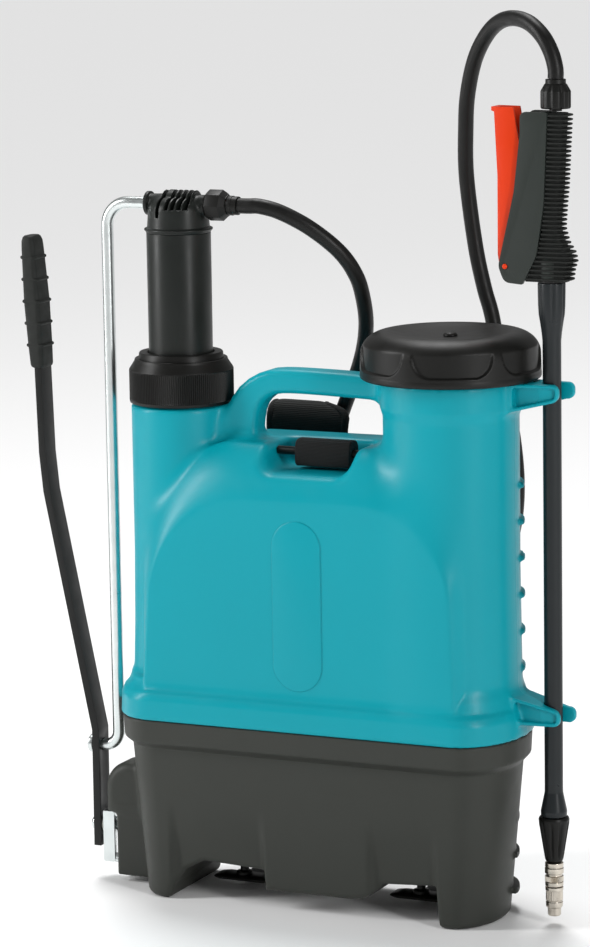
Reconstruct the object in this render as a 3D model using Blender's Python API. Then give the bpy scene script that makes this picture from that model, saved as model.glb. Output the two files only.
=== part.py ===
"""Backpack sprayer, about 12 litres, with a side lever, an upright pump and a clipped-on lance.

Units in this script are millimetres until add_object turns them into metres. X runs across the
tank from the lever (negative) to the lance (positive), Y from the outer face (negative) to the
wearer's side (positive), Z up from the ground. X and Y are counted from the axis plane through
the middle of the tank; FRAME_SHIFT then centres the whole object's box on the origin.
"""
import math

import bmesh
import bpy
from mathutils import Vector

# ---------------------------------------------------------------- driving dimensions
MM = 0.001
FRAME_SHIFT = Vector((27.9, -21.5, 0.0))
GAP = 0.35                  # clearance between neighbouring pieces
WALL = 3.5                  # wall of the blown tank and of the moulded base

SEAM_Z = 170.0              # where the tank's skirt meets the base
SKIRT = (196.0, 48.0, 70.0)     # half length, reach of the rounded ends, half depth
BODY = (187.0, 50.0, 61.0)
BASE_TOP = (187.0, 41.0, 58.5)
BASE_FOOT = (173.5, 34.0, 54.0)
BAND = (194.5, 46.0, 68.5)
NEST = (178.0, 42.0, 54.0)      # floor of the tank, which sits inside the base

PUMP_X = -139.0
PUMP_COLUMN_R = 46.0
PUMP_NECK_R = 41.0
PUMP_NECK_TOP = 478.0
VESSEL_R = 29.3
VESSEL_TOP = 608.6
OUTLET_Z = 634.0

FILLER_X = 126.0
FILLER_R = 60.5
FILLER_THREAD_R = 58.0
FILLER_TOP = 514.0
LID_R = 80.3
LID_RIM_Z = 488.5
LID_TOP = 530.0
LID_GRIPS = 6

HANDLE_BAR_Z = 478.3
HANDLE_DEPTH = 13.5

LEVER_X = -231.5
PIVOT_Z = 49.3
CRANK = 76.3                # from the lever's pivot up to the rod's pin
LEVER_THICK = 7.0
LEVER_HALF_WIDTH = 10.0
GRIP_BOTTOM = 479.0
GRIP_TOP = 601.0

ROD_X = -211.5
ROD_R = 5.6
ROD_TOP_BEND = 22.0
ROD_FOOT_BEND = 14.0

LANCE_X = 221.5
LANCE_R = 8.2
CLIP_LEVELS = (474.8, 196.0)
CLIP_HALF_HEIGHT = 13.0

HOSE_R = 7.0
HOSE_MEETS = 0.3            # gap between the two halves of the hose

TRIGGER_PIN = (182.8, 590.0)
TRIGGER_HALF_WIDTH = 9.2
HANDLE_HALF_WIDTH = 12.5
SLOT_HALF_WIDTH = 9.8

# Centre lines of the two halves of the hose, which meet behind the tank.
HOSE_PUMP_ROUTE = [
    (-78.0, 0.0, OUTLET_Z), (-68.0, 0.0, OUTLET_Z), (-58.0, 1.0, 634.0), (-39.0, 5.0, 628.6),
    (-14.0, 14.0, 614.0), (8.0, 28.0, 592.0), (18.2, 41.0, 569.0), (19.5, 53.0, 546.0),
    (16.5, 65.0, 523.0), (8.5, 77.0, 499.0), (-3.0, 87.0, 474.0), (-14.0, 92.0, 452.0),
    (-24.0, 93.5, 428.0), (-31.0, 91.0, 404.0), (-34.0, 85.0, 380.0), (-31.0, 80.5, 350.0),
    (-20.0, 79.0, 320.0), (0.0, 78.5, 290.0), (28.0, 78.5, 270.0), (49.6, 78.5, 263.5),
    (59.6, 78.5, 263.5)]
HOSE_LANCE_ROUTE = [
    (226.0, 0.0, 753.0), (226.0, 0.0, 761.0), (221.5, 1.5, 775.0), (212.0, 5.0, 789.0),
    (196.0, 14.0, 799.5), (177.0, 26.0, 802.5), (158.0, 40.0, 798.0), (140.5, 53.0, 785.0),
    (124.0, 66.0, 762.0), (112.0, 78.0, 729.0), (106.5, 87.0, 696.0), (104.0, 93.0, 664.0),
    (106.0, 96.0, 631.0), (112.0, 97.0, 588.0), (119.5, 97.0, 555.0), (128.0, 96.0, 526.0),
    (140.0, 90.0, 466.0), (152.5, 82.0, 421.0), (157.0, 79.0, 376.0), (152.0, 78.5, 335.0),
    (137.0, 78.5, 300.0), (114.0, 78.5, 276.0), (88.0, 78.5, 265.0), (70.4, 78.5, 263.5),
    (60.4, 78.5, 263.5)]

ARC_STEPS = 6
ROUND_STEPS = 32


# ---------------------------------------------------------------- building blocks
def make_material(name, colour, roughness, metallic=0.0):
    material = bpy.data.materials.new(name)
    material.use_nodes = True
    shader = material.node_tree.nodes["Principled BSDF"]
    shader.inputs["Base Color"].default_value = (*colour, 1.0)
    shader.inputs["Roughness"].default_value = roughness
    shader.inputs["Metallic"].default_value = metallic
    material.diffuse_color = (*colour, 1.0)
    return material


def add_object(name, points, faces, colour, roughness=0.5, metallic=0.0, origin=(0, 0, 0)):
    """Make one closed mesh object whose origin lies at a point given in millimetres."""
    start = Vector(origin)
    mesh = bpy.data.meshes.new(name)
    mesh.from_pydata([tuple((Vector(p) - start) * MM) for p in points], [], faces)
    mesh.update()
    shape = bmesh.new()
    shape.from_mesh(mesh)
    bmesh.ops.remove_doubles(shape, verts=shape.verts, dist=0.00001)
    bmesh.ops.recalc_face_normals(shape, faces=shape.faces)
    shape.to_mesh(mesh)
    shape.free()
    mesh.shade_smooth()
    mesh.set_sharp_from_angle(angle=math.radians(35))
    obj = bpy.data.objects.new(name, mesh)
    obj.location = (start + FRAME_SHIFT) * MM
    bpy.context.scene.collection.objects.link(obj)
    mesh.materials.append(make_material(name, colour, roughness, metallic))
    return obj


def tool(name, points, faces):
    """A helper solid that only takes part in Booleans."""
    obj = add_object("tool_" + name, points, faces, (0.5, 0.5, 0.5))
    obj.hide_render = True
    obj.display_type = "WIRE"
    return obj


def combine(target, helper, operation):
    modifier = target.modifiers.new(operation.lower() + "_" + helper.name, "BOOLEAN")
    modifier.operation = operation
    modifier.solver = "EXACT"
    modifier.object = helper


def fuse(target, points_and_faces, name):
    combine(target, tool(name, *points_and_faces), "UNION")


def cut(target, points_and_faces, name):
    combine(target, tool(name, *points_and_faces), "DIFFERENCE")


def merge(*parts):
    """Put several separate closed shapes into one list of points and faces."""
    points = []
    faces = []
    for part_points, part_faces in parts:
        start = len(points)
        points.extend(part_points)
        faces.extend([tuple(i + start for i in face) for face in part_faces])
    return points, faces


def loft(rings, closed=False):
    """Skin rings of equal length; open lofts get flat caps, closed ones join end to end."""
    count = len(rings[0])
    points = [p for ring in rings for p in ring]
    faces = []
    spans = len(rings) if closed else len(rings) - 1
    for k in range(spans):
        low = k * count
        high = ((k + 1) % len(rings)) * count
        for i in range(count):
            j = (i + 1) % count
            faces.append((low + i, low + j, high + j, high + i))
    if not closed:
        faces.append(tuple(range(count))[::-1])
        faces.append(tuple(range(len(points) - count, len(points))))
    return points, faces


def place(a, b, c, axis):
    """Turn a station a along an axis and two cross coordinates into a point."""
    return {"X": (a, b, c), "Y": (b, a, c), "Z": (b, c, a)}[axis]


def prism(outline, low, high, axis):
    return loft([[place(a, u, v, axis) for u, v in outline] for a in (low, high)])


def box(x0, x1, y0, y1, z0, z1):
    return prism([(x0, y0), (x1, y0), (x1, y1), (x0, y1)], z0, z1, "Z")


def circle(radius, centre=(0.0, 0.0), steps=ROUND_STEPS):
    turns = [2 * math.pi * (i + 0.5) / steps for i in range(steps)]
    return [(centre[0] + radius * math.cos(t), centre[1] + radius * math.sin(t)) for t in turns]


def turned(profile, centre, axis="Z", steps=ROUND_STEPS, hollow=False):
    """Turn (station, radius) pairs about an axis through a centre given in the cross plane."""
    rings = []
    for station, radius in profile:
        ring = circle(max(radius, 0.001), centre, steps)
        rings.append([place(station, u, v, axis) for u, v in ring])
    return loft(rings, closed=hollow)


def rounded(corners, steps=ARC_STEPS):
    """Outline from corners (u, v, radius), each replaced by an arc where it has a radius."""
    outline = []
    for i, (u, v, radius) in enumerate(corners):
        here = Vector((u, v))
        before = (Vector(corners[i - 1][:2]) - here).normalized()
        after = (Vector(corners[(i + 1) % len(corners)][:2]) - here).normalized()
        if radius <= 0:
            outline.append((u, v))
            continue
        half = before.angle(after) / 2
        start = here + before * (radius / math.tan(half))
        end = here + after * (radius / math.tan(half))
        centre = here + (before + after).normalized() * (radius / math.sin(half))
        for k in range(steps + 1):
            spread = (start - centre).lerp(end - centre, k / steps).normalized()
            turn = (start - centre).angle(end - centre) * k / steps
            side = (end - centre) - (end - centre).project(start - centre)
            spread = (start - centre) * math.cos(turn) + side.normalized() * radius * math.sin(turn)
            outline.append(tuple(centre + spread))
    return outline


def oval(size, z, steps=9):
    """Plan outline with flat front and back and elliptic ends."""
    half_length, reach, half_depth = size
    straight = half_length - reach
    turns = [math.pi * (i / steps - 0.5) for i in range(steps + 1)]
    right = [(straight + reach * math.cos(t), half_depth * math.sin(t), z) for t in turns]
    left = [(-x, -y, z) for x, y, z in right]
    return right + left


def shrink(size, by):
    return tuple(value - by for value in size)


def smooth_route(points, spacing):
    """Points at an even spacing along a Catmull-Rom curve through the given points."""
    stations = [Vector(p) for p in points]
    ends = [2 * stations[0] - stations[1]] + stations + [2 * stations[-1] - stations[-2]]
    fine = []
    for i in range(1, len(ends) - 2):
        a, b, c, d = ends[i - 1:i + 3]
        for k in range(12):
            t = k / 12
            fine.append(0.5 * ((2 * b) + (c - a) * t + (2 * a - 5 * b + 4 * c - d) * t * t
                               + (3 * b - a - 3 * c + d) * t ** 3))
    fine.append(stations[-1])
    travelled = [0.0]
    for p, q in zip(fine, fine[1:]):
        travelled.append(travelled[-1] + (q - p).length)
    count = max(2, round(travelled[-1] / spacing))
    even = []
    k = 0
    for i in range(count + 1):
        goal = travelled[-1] * i / count
        while k < len(fine) - 2 and travelled[k + 1] < goal:
            k += 1
        share = (goal - travelled[k]) / max(travelled[k + 1] - travelled[k], 1e-9)
        even.append(fine[k].lerp(fine[k + 1], min(share, 1.0)))
    return even


def strap(stations, thickness):
    """Flat band across X: stations are (x, y, z, width) along its middle, in the YZ plane."""
    rings = []
    for i, (x, y, z, width) in enumerate(stations):
        before = stations[max(i - 1, 0)]
        after = stations[min(i + 1, len(stations) - 1)]
        along = Vector((0, after[1] - before[1], after[2] - before[2])).normalized()
        normal = Vector((0, -along.z, along.y)) * thickness / 2
        side = Vector((width / 2, 0, 0))
        middle = Vector((x, y, z))
        rings.append([tuple(middle + s * side + n * normal)
                      for s, n in ((-1, -1), (1, -1), (1, 1), (-1, 1))])
    return loft(rings)


# ---------------------------------------------------------------- tank
def arch(left_foot, left_top, right_top, right_foot, floor):
    """Outline in X and Z of the tank's front slab; each top corner is (x, z, radius)."""
    return rounded([(right_foot, floor, 0), right_top, left_top, (left_foot, floor, 0)], 7)


def slab(inset=0.0, floor=188.0):
    """The slab between the two columns: a flat arch in front, rounded back to a larger one."""
    flat = arch(-153 + inset, (-140 + inset, 377 - inset, 93), (145 - inset, 379 - inset, 88),
                152 - inset, floor)
    full = arch(-163 + inset, (-162 + inset, 424 - inset, 93), (158 - inset, 425 - inset, 60),
                160 - inset, floor)
    rear = arch(-150 + inset, (-149 + inset, 411 - inset, 86), (146 - inset, 412 - inset, 60),
                150 - inset, floor)
    rings = []
    for k in range(6):
        turn = math.radians(90) * k / 5
        share = math.sin(turn)
        y = -62 + inset + 36 * (1 - math.cos(turn))
        rings.append([(a[0] + (b[0] - a[0]) * share, y, a[1] + (b[1] - a[1]) * share)
                      for a, b in zip(flat, full)])
    rings.append([(u, 48, v) for u, v in full])
    rings.append([((a[0] + b[0]) / 2, 57.5 - inset, (a[1] + b[1]) / 2 + 1) for a, b in zip(full, rear)])
    rings.append([(u, 61.5 - inset, v) for u, v in rear])
    return loft(rings)


def grab_handle():
    """Leg and bar of the carrying handle, swept with a rounded oblong section."""
    route = [(-84, 392, 23), (-80, 420, 19.5), (-75, 444, 16.5), (-66, 463, 13.5),
             (-50, 475, 11.6), (-30, HANDLE_BAR_Z, 11), (20, HANDLE_BAR_Z - 0.6, 11),
             (48, HANDLE_BAR_Z - 1.8, 10.8), (84, HANDLE_BAR_Z - 3, 10.8)]
    section = rounded([(-1, -1, 0.55), (1, -1, 0.55), (1, 1, 0.55), (-1, 1, 0.55)], 3)
    rings = []
    for i, (x, z, half) in enumerate(route):
        before = route[max(i - 1, 0)]
        after = route[min(i + 1, len(route) - 1)]
        along = Vector((after[0] - before[0], 0, after[1] - before[1])).normalized()
        across = Vector((-along.z, 0, along.x))
        rings.append([tuple(Vector((x, 0, z)) + across * half * u + Vector((0, HANDLE_DEPTH * v, 0)))
                      for u, v in section])
    return loft(rings)


def lance_clip(level):
    """A fork with two fingers that hold the lance, open towards positive X."""
    inner = LANCE_R + 0.5
    bay = [(LANCE_X + inner * math.cos(t), inner * math.sin(t))
           for t in [math.radians(-90 - 30 * k) for k in range(7)]]
    plan = [(170, -20), (196, -17.5), (222, -14.5), (231, -13), (231.5, -10.5), (228, -inner)]
    plan += bay
    plan += [(234, inner), (239, 11), (238.5, 14), (222, 14.5), (196, 17.5), (170, 20)]
    return prism(plan, level - CLIP_HALF_HEIGHT, level + CLIP_HALF_HEIGHT, "Z")


def wearer_ribs(levels, right_x, right_r, left_x, left_r, depth, height=5.0):
    """Horizontal ribs round the wearer's side, each a flat crescent buried in the wall."""
    plan = [(right_x + right_r * math.cos(t), depth * math.sin(t))
            for t in [math.radians(14 + 76 * k / 5) for k in range(6)]]
    plan += [(left_x + left_r * math.cos(t), depth * math.sin(t))
             for t in [math.radians(90 + 76 * k / 5) for k in range(6)]]
    return merge(*[prism(plan, z - height / 2, z + height / 2, "Z") for z in levels])


def build_tank():
    teal = (0.0, 0.36, 0.42)
    ledge = shrink(BODY, -2.5)
    rings = [oval(NEST, SEAM_Z - 11.5), oval(NEST, SEAM_Z + GAP), oval(SKIRT, SEAM_Z + GAP),
             oval(shrink(SKIRT, 0.8), 189), oval(shrink(SKIRT, 2.6), 194.5), oval(ledge, 198.5),
             oval(BODY, 203)]
    tank = add_object("tank", *loft(rings), teal, 0.38)
    fuse(tank, slab(), "slab")
    fuse(tank, turned([(186, 49.5), (250, 47.2), (320, PUMP_COLUMN_R), (452.3, PUMP_COLUMN_R),
                       (453.3, PUMP_NECK_R), (PUMP_NECK_TOP, PUMP_NECK_R)], (PUMP_X, 0)),
         "pump_column")
    fuse(tank, turned([(184, 62.5), (240, 61.6), (320, FILLER_R), (459, FILLER_R), (462, 62.4),
                       (486.5, 62.4), (487.5, FILLER_THREAD_R), (FILLER_TOP, FILLER_THREAD_R)],
                      (FILLER_X, 0)), "filler_column")
    fuse(tank, grab_handle(), "handle")
    for number, level in enumerate(CLIP_LEVELS):
        fuse(tank, lance_clip(level), "clip_%d" % number)
    fuse(tank, wearer_ribs([228 + 33 * k for k in range(6)], FILLER_X, 64.5, PUMP_X, 50.5, 65.5),
         "ribs")
    hollow_tank(tank)
    # pocket for the strap's pin, and the slot that its webbing leaves by
    cut(tank, box(-38, 46, -70, 18, 401, 470), "pocket")
    cut(tank, box(-20, 39, 10, 75, 405.5, 413), "strap_slot")
    return tank


def hollow_tank(tank):
    inside = [oval(shrink(NEST, WALL), SEAM_Z - 11.5 + WALL), oval(shrink(NEST, WALL), SEAM_Z + 4),
              oval(shrink(SKIRT, WALL + 1), SEAM_Z + 4), oval(shrink(SKIRT, WALL + 2), 190),
              oval(shrink(BODY, WALL + 0.5), 199), oval(shrink(BODY, WALL + 0.5), 207)]
    cut(tank, loft(inside), "inside_skirt")
    room = tool("inside_slab", *slab(WALL, 196.0))
    combine(room, tool("pocket_wall", *box(-42, 50, -75, 75, 397, 470)), "DIFFERENCE")
    combine(tank, room, "DIFFERENCE")
    cut(tank, turned([(195, 42.5), (440, 42.5), (447, 37.3), (490, 37.3)], (PUMP_X, 0)),
        "inside_pump_column")
    cut(tank, turned([(194, 57), (452, 57), (460, 54), (520, 54)], (FILLER_X, 0)),
        "inside_filler_column")


# ---------------------------------------------------------------- base
def build_base():
    grey = (0.045, 0.047, 0.042)
    rings = [oval(shrink(BASE_FOOT, 2.5), 0), oval(BASE_FOOT, 4), oval(BASE_TOP, 142),
             oval(shrink(BAND, 1.2), 148), oval(BAND, SEAM_Z)]
    base = add_object("base", *loft(rings), grey, 0.5)
    fuse(base, prism(rounded([(-219, 66, 3), (-219, 113, 26), (-176, 115, 0), (-176, 66, 0)]),
                     -19, 19, "Y"), "lever_boss")
    fuse(base, box(-208, -160, -17, 17, 5, 72), "bracket_pod")
    fuse(base, wearer_ribs([22 + 33 * k for k in range(4)], 142, 40, -142, 40, 61), "base_ribs")
    inside = [oval(shrink(BASE_FOOT, WALL + 1), 44), oval(shrink(BASE_TOP, WALL + 1), 142),
              oval((NEST[0] + 1, NEST[1] + 1, NEST[2] + 1), 150),
              oval((NEST[0] + 1, NEST[1] + 1, NEST[2] + 1), SEAM_Z + 5)]
    cut(base, loft(inside), "inside_base")
    wells = merge(box(-160, -141, -38, 38, 5, 60), box(-30, 54, -44, 44, 22.5, 60),
                  box(136, 160, -38, 38, 5, 60))
    cut(base, wells, "wells")
    tunnel = [(-137, -5), (-132, 13), (-121, 28), (-103, 37.5), (-41, 34.5), (-38.5, 17.6),
              (58, 17.6), (67, 24), (76, 33.5), (128, 36.5), (131.5, 3), (131.8, -5)]
    cut(base, prism(tunnel, -80, 80, "Y"), "arches")
    slots = merge(box(-210, -184, -10.6, 10.6, 15.4, 20), box(-210, -184, -10.6, 10.6, 60, 64.8))
    cut(base, slots, "bracket_slots")
    cut(base, turned([(-212, 4.7), (-193, 4.7)], (0, PIVOT_Z), "X", 16), "bolt_hole")
    for side in (-1, 1):
        cut(base, turned([(20, 4.6), (43, 4.6)], (hook_x(side) , 2), "Z", 12),
            "hook_socket_%s" % ("left" if side < 0 else "right"))
    return base


def hook_x(side):
    return -85.0 if side < 0 else 92.0


# ---------------------------------------------------------------- filler
def build_filler():
    black = (0.012, 0.012, 0.012)
    add_object("lid_gasket", *turned([(FILLER_TOP + GAP, 51), (FILLER_TOP + 3, 51),
                                      (FILLER_TOP + 3, 57.5), (FILLER_TOP + GAP, 57.5)],
                                     (FILLER_X, 0), hollow=True), (0.02, 0.02, 0.02), 0.8)
    strainer = [(425, 0), (425, 43.5), (510.5, 46.5), (510.5, 53.6), (508, 53.6), (508, 49),
                (423, 45.5), (423, 0)]
    add_object("filler_strainer", *turned(strainer, (FILLER_X, 0)), (0.5, 0.5, 0.48), 0.6,
               origin=(FILLER_X, 0, 423))
    lid = add_object("filler_lid", *lid_shape(), black, 0.42, origin=(FILLER_X, 0, LID_RIM_Z))
    cut(lid, turned([(LID_TOP - 12, 3.4), (LID_TOP + 5, 3.4)], (FILLER_X, 0), "Z", 16),
        "vent_hole")
    vent = [(LID_TOP - 10, 3), (LID_TOP - 1.6, 3), (LID_TOP - 1.6, 6.2), (LID_TOP + 1.2, 5.4),
            (LID_TOP + 1.6, 2)]
    add_object("lid_vent_valve", *turned(vent, (FILLER_X, 0), "Z", 20), black, 0.5,
               origin=(FILLER_X, 0, LID_TOP))


def lid_radius(radius, z, turn):
    """Grip recesses pull the lid's side in between its lobes."""
    if not 495 < z < 520 or radius < 70:
        return radius
    wave = math.cos(LID_GRIPS * turn)
    return radius - 2.2 * max(0.0, wave) ** 0.5


def lid_shape():
    profile = [(LID_RIM_Z, FILLER_THREAD_R + 1), (LID_RIM_Z, LID_R - 1.2), (490.5, LID_R),
               (495, LID_R), (498, LID_R), (513, LID_R - 1.5), (521, LID_R - 7),
               (LID_TOP - 1.5, LID_R - 20), (LID_TOP, 52), (LID_TOP - 2, 47),
               (LID_TOP - 2.4, 2), (LID_TOP - 5.4, 2), (LID_TOP - 5.4, FILLER_THREAD_R + 1)]
    steps = 42
    rings = []
    for z, radius in profile:
        ring = []
        for i in range(steps):
            turn = 2 * math.pi * i / steps
            r = lid_radius(radius, z, turn + math.radians(8))
            ring.append((FILLER_X + r * math.cos(turn), r * math.sin(turn), z))
        rings.append(ring)
    return loft(rings, closed=True)


# ---------------------------------------------------------------- pump
def build_pump():
    black = (0.014, 0.014, 0.014)
    charcoal = (0.03, 0.032, 0.03)
    axis = (PUMP_X, 0)
    collar = [(453.7, PUMP_NECK_R + 0.8), (453.7, 46.2), (455.5, 47.6), (484, 47.6), (492, 42.4),
              (494, 38.3), (500, 38.3), (500, VESSEL_R + 1.2), (489, VESSEL_R + 1.2),
              (489, PUMP_NECK_R + 0.8)]
    add_object("pump_collar", *turned(collar, axis, hollow=True), black, 0.5,
               origin=(PUMP_X, 0, 454))
    barrel = [(176, 31.8), (176, 36.5), (PUMP_NECK_TOP + GAP, 36.5), (PUMP_NECK_TOP + GAP, 40.8),
              (PUMP_NECK_TOP + 4, 40.8), (PUMP_NECK_TOP + 4, 33.5), (188, 33.5), (188, 8),
              (184, 8), (184, 31.8)]
    add_object("pump_barrel", *turned(barrel, axis, hollow=True), (0.5, 0.5, 0.48), 0.5,
               origin=(PUMP_X, 0, 176))
    guide = [(482.5, VESSEL_R + 0.5), (482.5, 40.4), (488.6, 40.4), (488.6, VESSEL_R + 0.5)]
    add_object("pump_guide_ring", *turned(guide, axis, hollow=True), (0.6, 0.6, 0.58), 0.5,
               origin=(PUMP_X, 0, 482.5))
    valve = [(188.4, 0), (188.4, 14), (190, 14), (191, 9), (193, 5), (193.4, 0)]
    add_object("foot_valve", *turned(valve, axis, "Z", 20), (0.02, 0.02, 0.02), 0.8,
               origin=(PUMP_X, 0, 188.4))
    vessel = [(300, 6), (300, VESSEL_R - 0.6), (480, VESSEL_R - 0.2), (VESSEL_TOP, VESSEL_R),
              (VESSEL_TOP, VESSEL_R - 2.8), (306, VESSEL_R - 3.4), (306, 6)]
    add_object("pressure_vessel", *turned(vessel, axis, hollow=True), charcoal, 0.45,
               origin=(PUMP_X, 0, 300))
    piston = [(276, 5.4), (276, 29), (280, 29), (281, 12), (299.6, 12), (299.6, 5.4)]
    add_object("piston", *turned(piston, axis, "Z", 32, hollow=True), (0.6, 0.6, 0.58), 0.5,
               origin=(PUMP_X, 0, 276))
    cup = [(281.6, 12.5), (281.6, 30), (288, 33), (294, 33.2), (294, 31.2), (289, 30.5),
           (285, 27), (285, 12.5)]
    add_object("piston_cup", *turned(cup, axis, "Z", 32, hollow=True), (0.02, 0.02, 0.02), 0.8,
               origin=(PUMP_X, 0, 281.6))
    build_pump_head(axis, charcoal, black)


def build_pump_head(axis, charcoal, black):
    head = [(VESSEL_TOP + GAP, VESSEL_R + 0.6), (613, VESSEL_R + 0.6), (613.4, 28.2), (626, 27),
            (638, 26), (642, 21)]
    body = add_object("pump_head", *turned(head, axis), charcoal, 0.45,
                      origin=(PUMP_X, 0, VESSEL_TOP))
    fuse(body, turned([(-169.6, 10.2), (-166.2, 10.2), (-166, 8.4), (-110, 8.4)], (0, OUTLET_Z),
                      "X", 24), "outlet")
    for k in range(4):
        x = -126.5 + 5.4 * k - 18
        cut(body, box(x - 1.5, x + 1.5, -40, -12, 630.5, 650), "vent_%d" % k)
    nut = [(-109.6, 6), (-109.6, 11.8), (-107.6, 13.4), (-93.5, 13.4), (-88, 9.8), (-84, 9.4),
           (-84, 6)]
    add_object("pump_hose_nut", *turned(nut, (0, OUTLET_Z), "X", 16, hollow=True), black, 0.5,
               origin=(-109.6, 0, OUTLET_Z))
    tail = [(-109.5, 3.2), (-109.5, 5.6), (-83.6, 5.6), (-83.6, 8.2), (-78.4, 8.2), (-78.4, 3.2)]
    add_object("pump_hose_tail", *turned(tail, (0, OUTLET_Z), "X", 16, hollow=True), black, 0.5,
               origin=(-109.5, 0, OUTLET_Z))


# ---------------------------------------------------------------- lever and rod
def lever_line():
    """Middle of the bar in X and Z, from its foot to the top of its tang."""
    return [(LEVER_X, 30.0), (LEVER_X + 0.3, 141.0), (-253.0, 251.0), (-276.0, 364.0),
            (-279.5, 400.0), (-283.0, GRIP_BOTTOM + 40)]


def bar_outline(line, half):
    left = []
    right = []
    for i, (x, z) in enumerate(line):
        before = line[max(i - 1, 0)]
        after = line[min(i + 1, len(line) - 1)]
        along = Vector((after[0] - before[0], after[1] - before[1])).normalized()
        left.append((x - along.y * half, z + along.x * half))
        right.append((x + along.y * half, z - along.x * half))
    return right + left[::-1]


def build_lever():
    black = (0.015, 0.015, 0.016)
    pivot = (LEVER_X, 0, PIVOT_Z)
    outline = bar_outline(lever_line(), LEVER_THICK / 2)
    bar = add_object("lever_bar", *prism(outline, -LEVER_HALF_WIDTH, LEVER_HALF_WIDTH, "Y"), black,
                     0.4, origin=pivot)
    cut(bar, turned([(-250, 7.6), (-215, 7.6)], (0, PIVOT_Z), "X", 20), "bush_hole")
    cut(bar, turned([(-250, ROD_R + 0.45), (-215, ROD_R + 0.45)], (0, PIVOT_Z + CRANK), "X", 20),
        "rod_hole")
    grip = [(GRIP_BOTTOM, 10), (GRIP_BOTTOM + 2, 11.3), (500, 12.2), (540, 12.8), (570, 12),
            (590, 11), (GRIP_TOP - 5, 11), (GRIP_TOP, 7)]
    top_x = -290.0
    foot_x = -282.6
    rings = []
    for z, radius in grip:
        share = (z - GRIP_BOTTOM) / (GRIP_TOP - GRIP_BOTTOM)
        middle = (foot_x + (top_x - foot_x) * share, 0)
        rings.append([(u, v, z) for u, v in circle(radius, middle, 20)])
    cover = add_object("lever_grip", *loft(rings), (0.018, 0.018, 0.018), 0.7, origin=pivot)
    tang = [(x, z) for x, z in bar_outline(lever_line()[3:], LEVER_THICK / 2 + 0.4)]
    cut(cover, prism(tang, -LEVER_HALF_WIDTH - 0.4, LEVER_HALF_WIDTH + 0.4, "Y"), "tang_hole")
    add_object("pivot_bush", *turned([(-235.8, 4.7), (-235.8, 7.2), (-225.3, 7.2), (-225.3, 4.7)],
                                     (0, PIVOT_Z), "X", 20, hollow=True), (0.6, 0.58, 0.5), 0.5,
               origin=pivot)


def build_pivot():
    zinc = (0.62, 0.66, 0.68)
    pivot = (LEVER_X, 0, PIVOT_Z)
    plan = [(-224.8, 15.9), (-187, 15.9), (-187, 19.2), (-221.6, 19.2), (-221.6, 60.8),
            (-187, 60.8), (-187, 64.1), (-224.8, 64.1)]
    bracket = add_object("pivot_bracket", *prism(plan, -10, 10, "Y"), zinc, 0.35, 0.9,
                         origin=pivot)
    cut(bracket, turned([(-230, 4.6), (-215, 4.6)], (0, PIVOT_Z), "X", 20), "bracket_hole")
    bolt = [(-241.5, 2), (-240.8, 5), (-238.6, 6.8), (-236.2, 6.8), (-236.2, 4.2), (-196, 4.2)]
    add_object("pivot_bolt", *turned(bolt, (0, PIVOT_Z), "X", 20), zinc, 0.35, 0.9, origin=pivot)
    nut = [(-221.2, 5.4), (-221.2, 8), (-215.4, 8), (-215.4, 5.4)]
    add_object("pivot_nut", *turned(nut, (0, PIVOT_Z), "X", 6, hollow=True), zinc, 0.35, 0.9,
               origin=pivot)


def bend(centre, radius, first, last, steps=7):
    return [(centre[0] + radius * math.cos(math.radians(first + (last - first) * k / steps)),
             centre[1] + radius * math.sin(math.radians(first + (last - first) * k / steps)))
            for k in range(steps + 1)]


def tube(line, radius, steps=12, y=0.0):
    """Round bar along a line of X and Z points."""
    rings = []
    for i, (x, z) in enumerate(line):
        before = line[max(i - 1, 0)]
        after = line[min(i + 1, len(line) - 1)]
        along = Vector((after[0] - before[0], 0, after[1] - before[1])).normalized()
        across = Vector((-along.z, 0, along.x))
        rings.append([tuple(Vector((x, y, z)) + across * u + Vector((0, v, 0)))
                      for u, v in circle(radius, (0, 0), steps)])
    return loft(rings)


def build_rod():
    foot_z = PIVOT_Z + CRANK
    line = [(-170.1, OUTLET_Z)]
    line += bend((ROD_X + ROD_TOP_BEND, OUTLET_Z - ROD_TOP_BEND), ROD_TOP_BEND, 90, 180)
    line += bend((ROD_X - ROD_FOOT_BEND, foot_z + ROD_FOOT_BEND), ROD_FOOT_BEND, 0, -90)
    line += [(-242.0, foot_z)]
    add_object("link_rod", *tube(line, ROD_R), (0.6, 0.62, 0.63), 0.3, 0.95,
               origin=(LEVER_X, 0, foot_z))
    clip = [(-240.6, ROD_R + 0.35), (-240.6, 8.4), (-236.4, 8.4), (-236.4, ROD_R + 0.35)]
    add_object("rod_clip", *turned(clip, (0, foot_z), "X", 16, hollow=True), (0.6, 0.62, 0.63),
               0.35, 0.9, origin=(LEVER_X, 0, foot_z))


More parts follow.
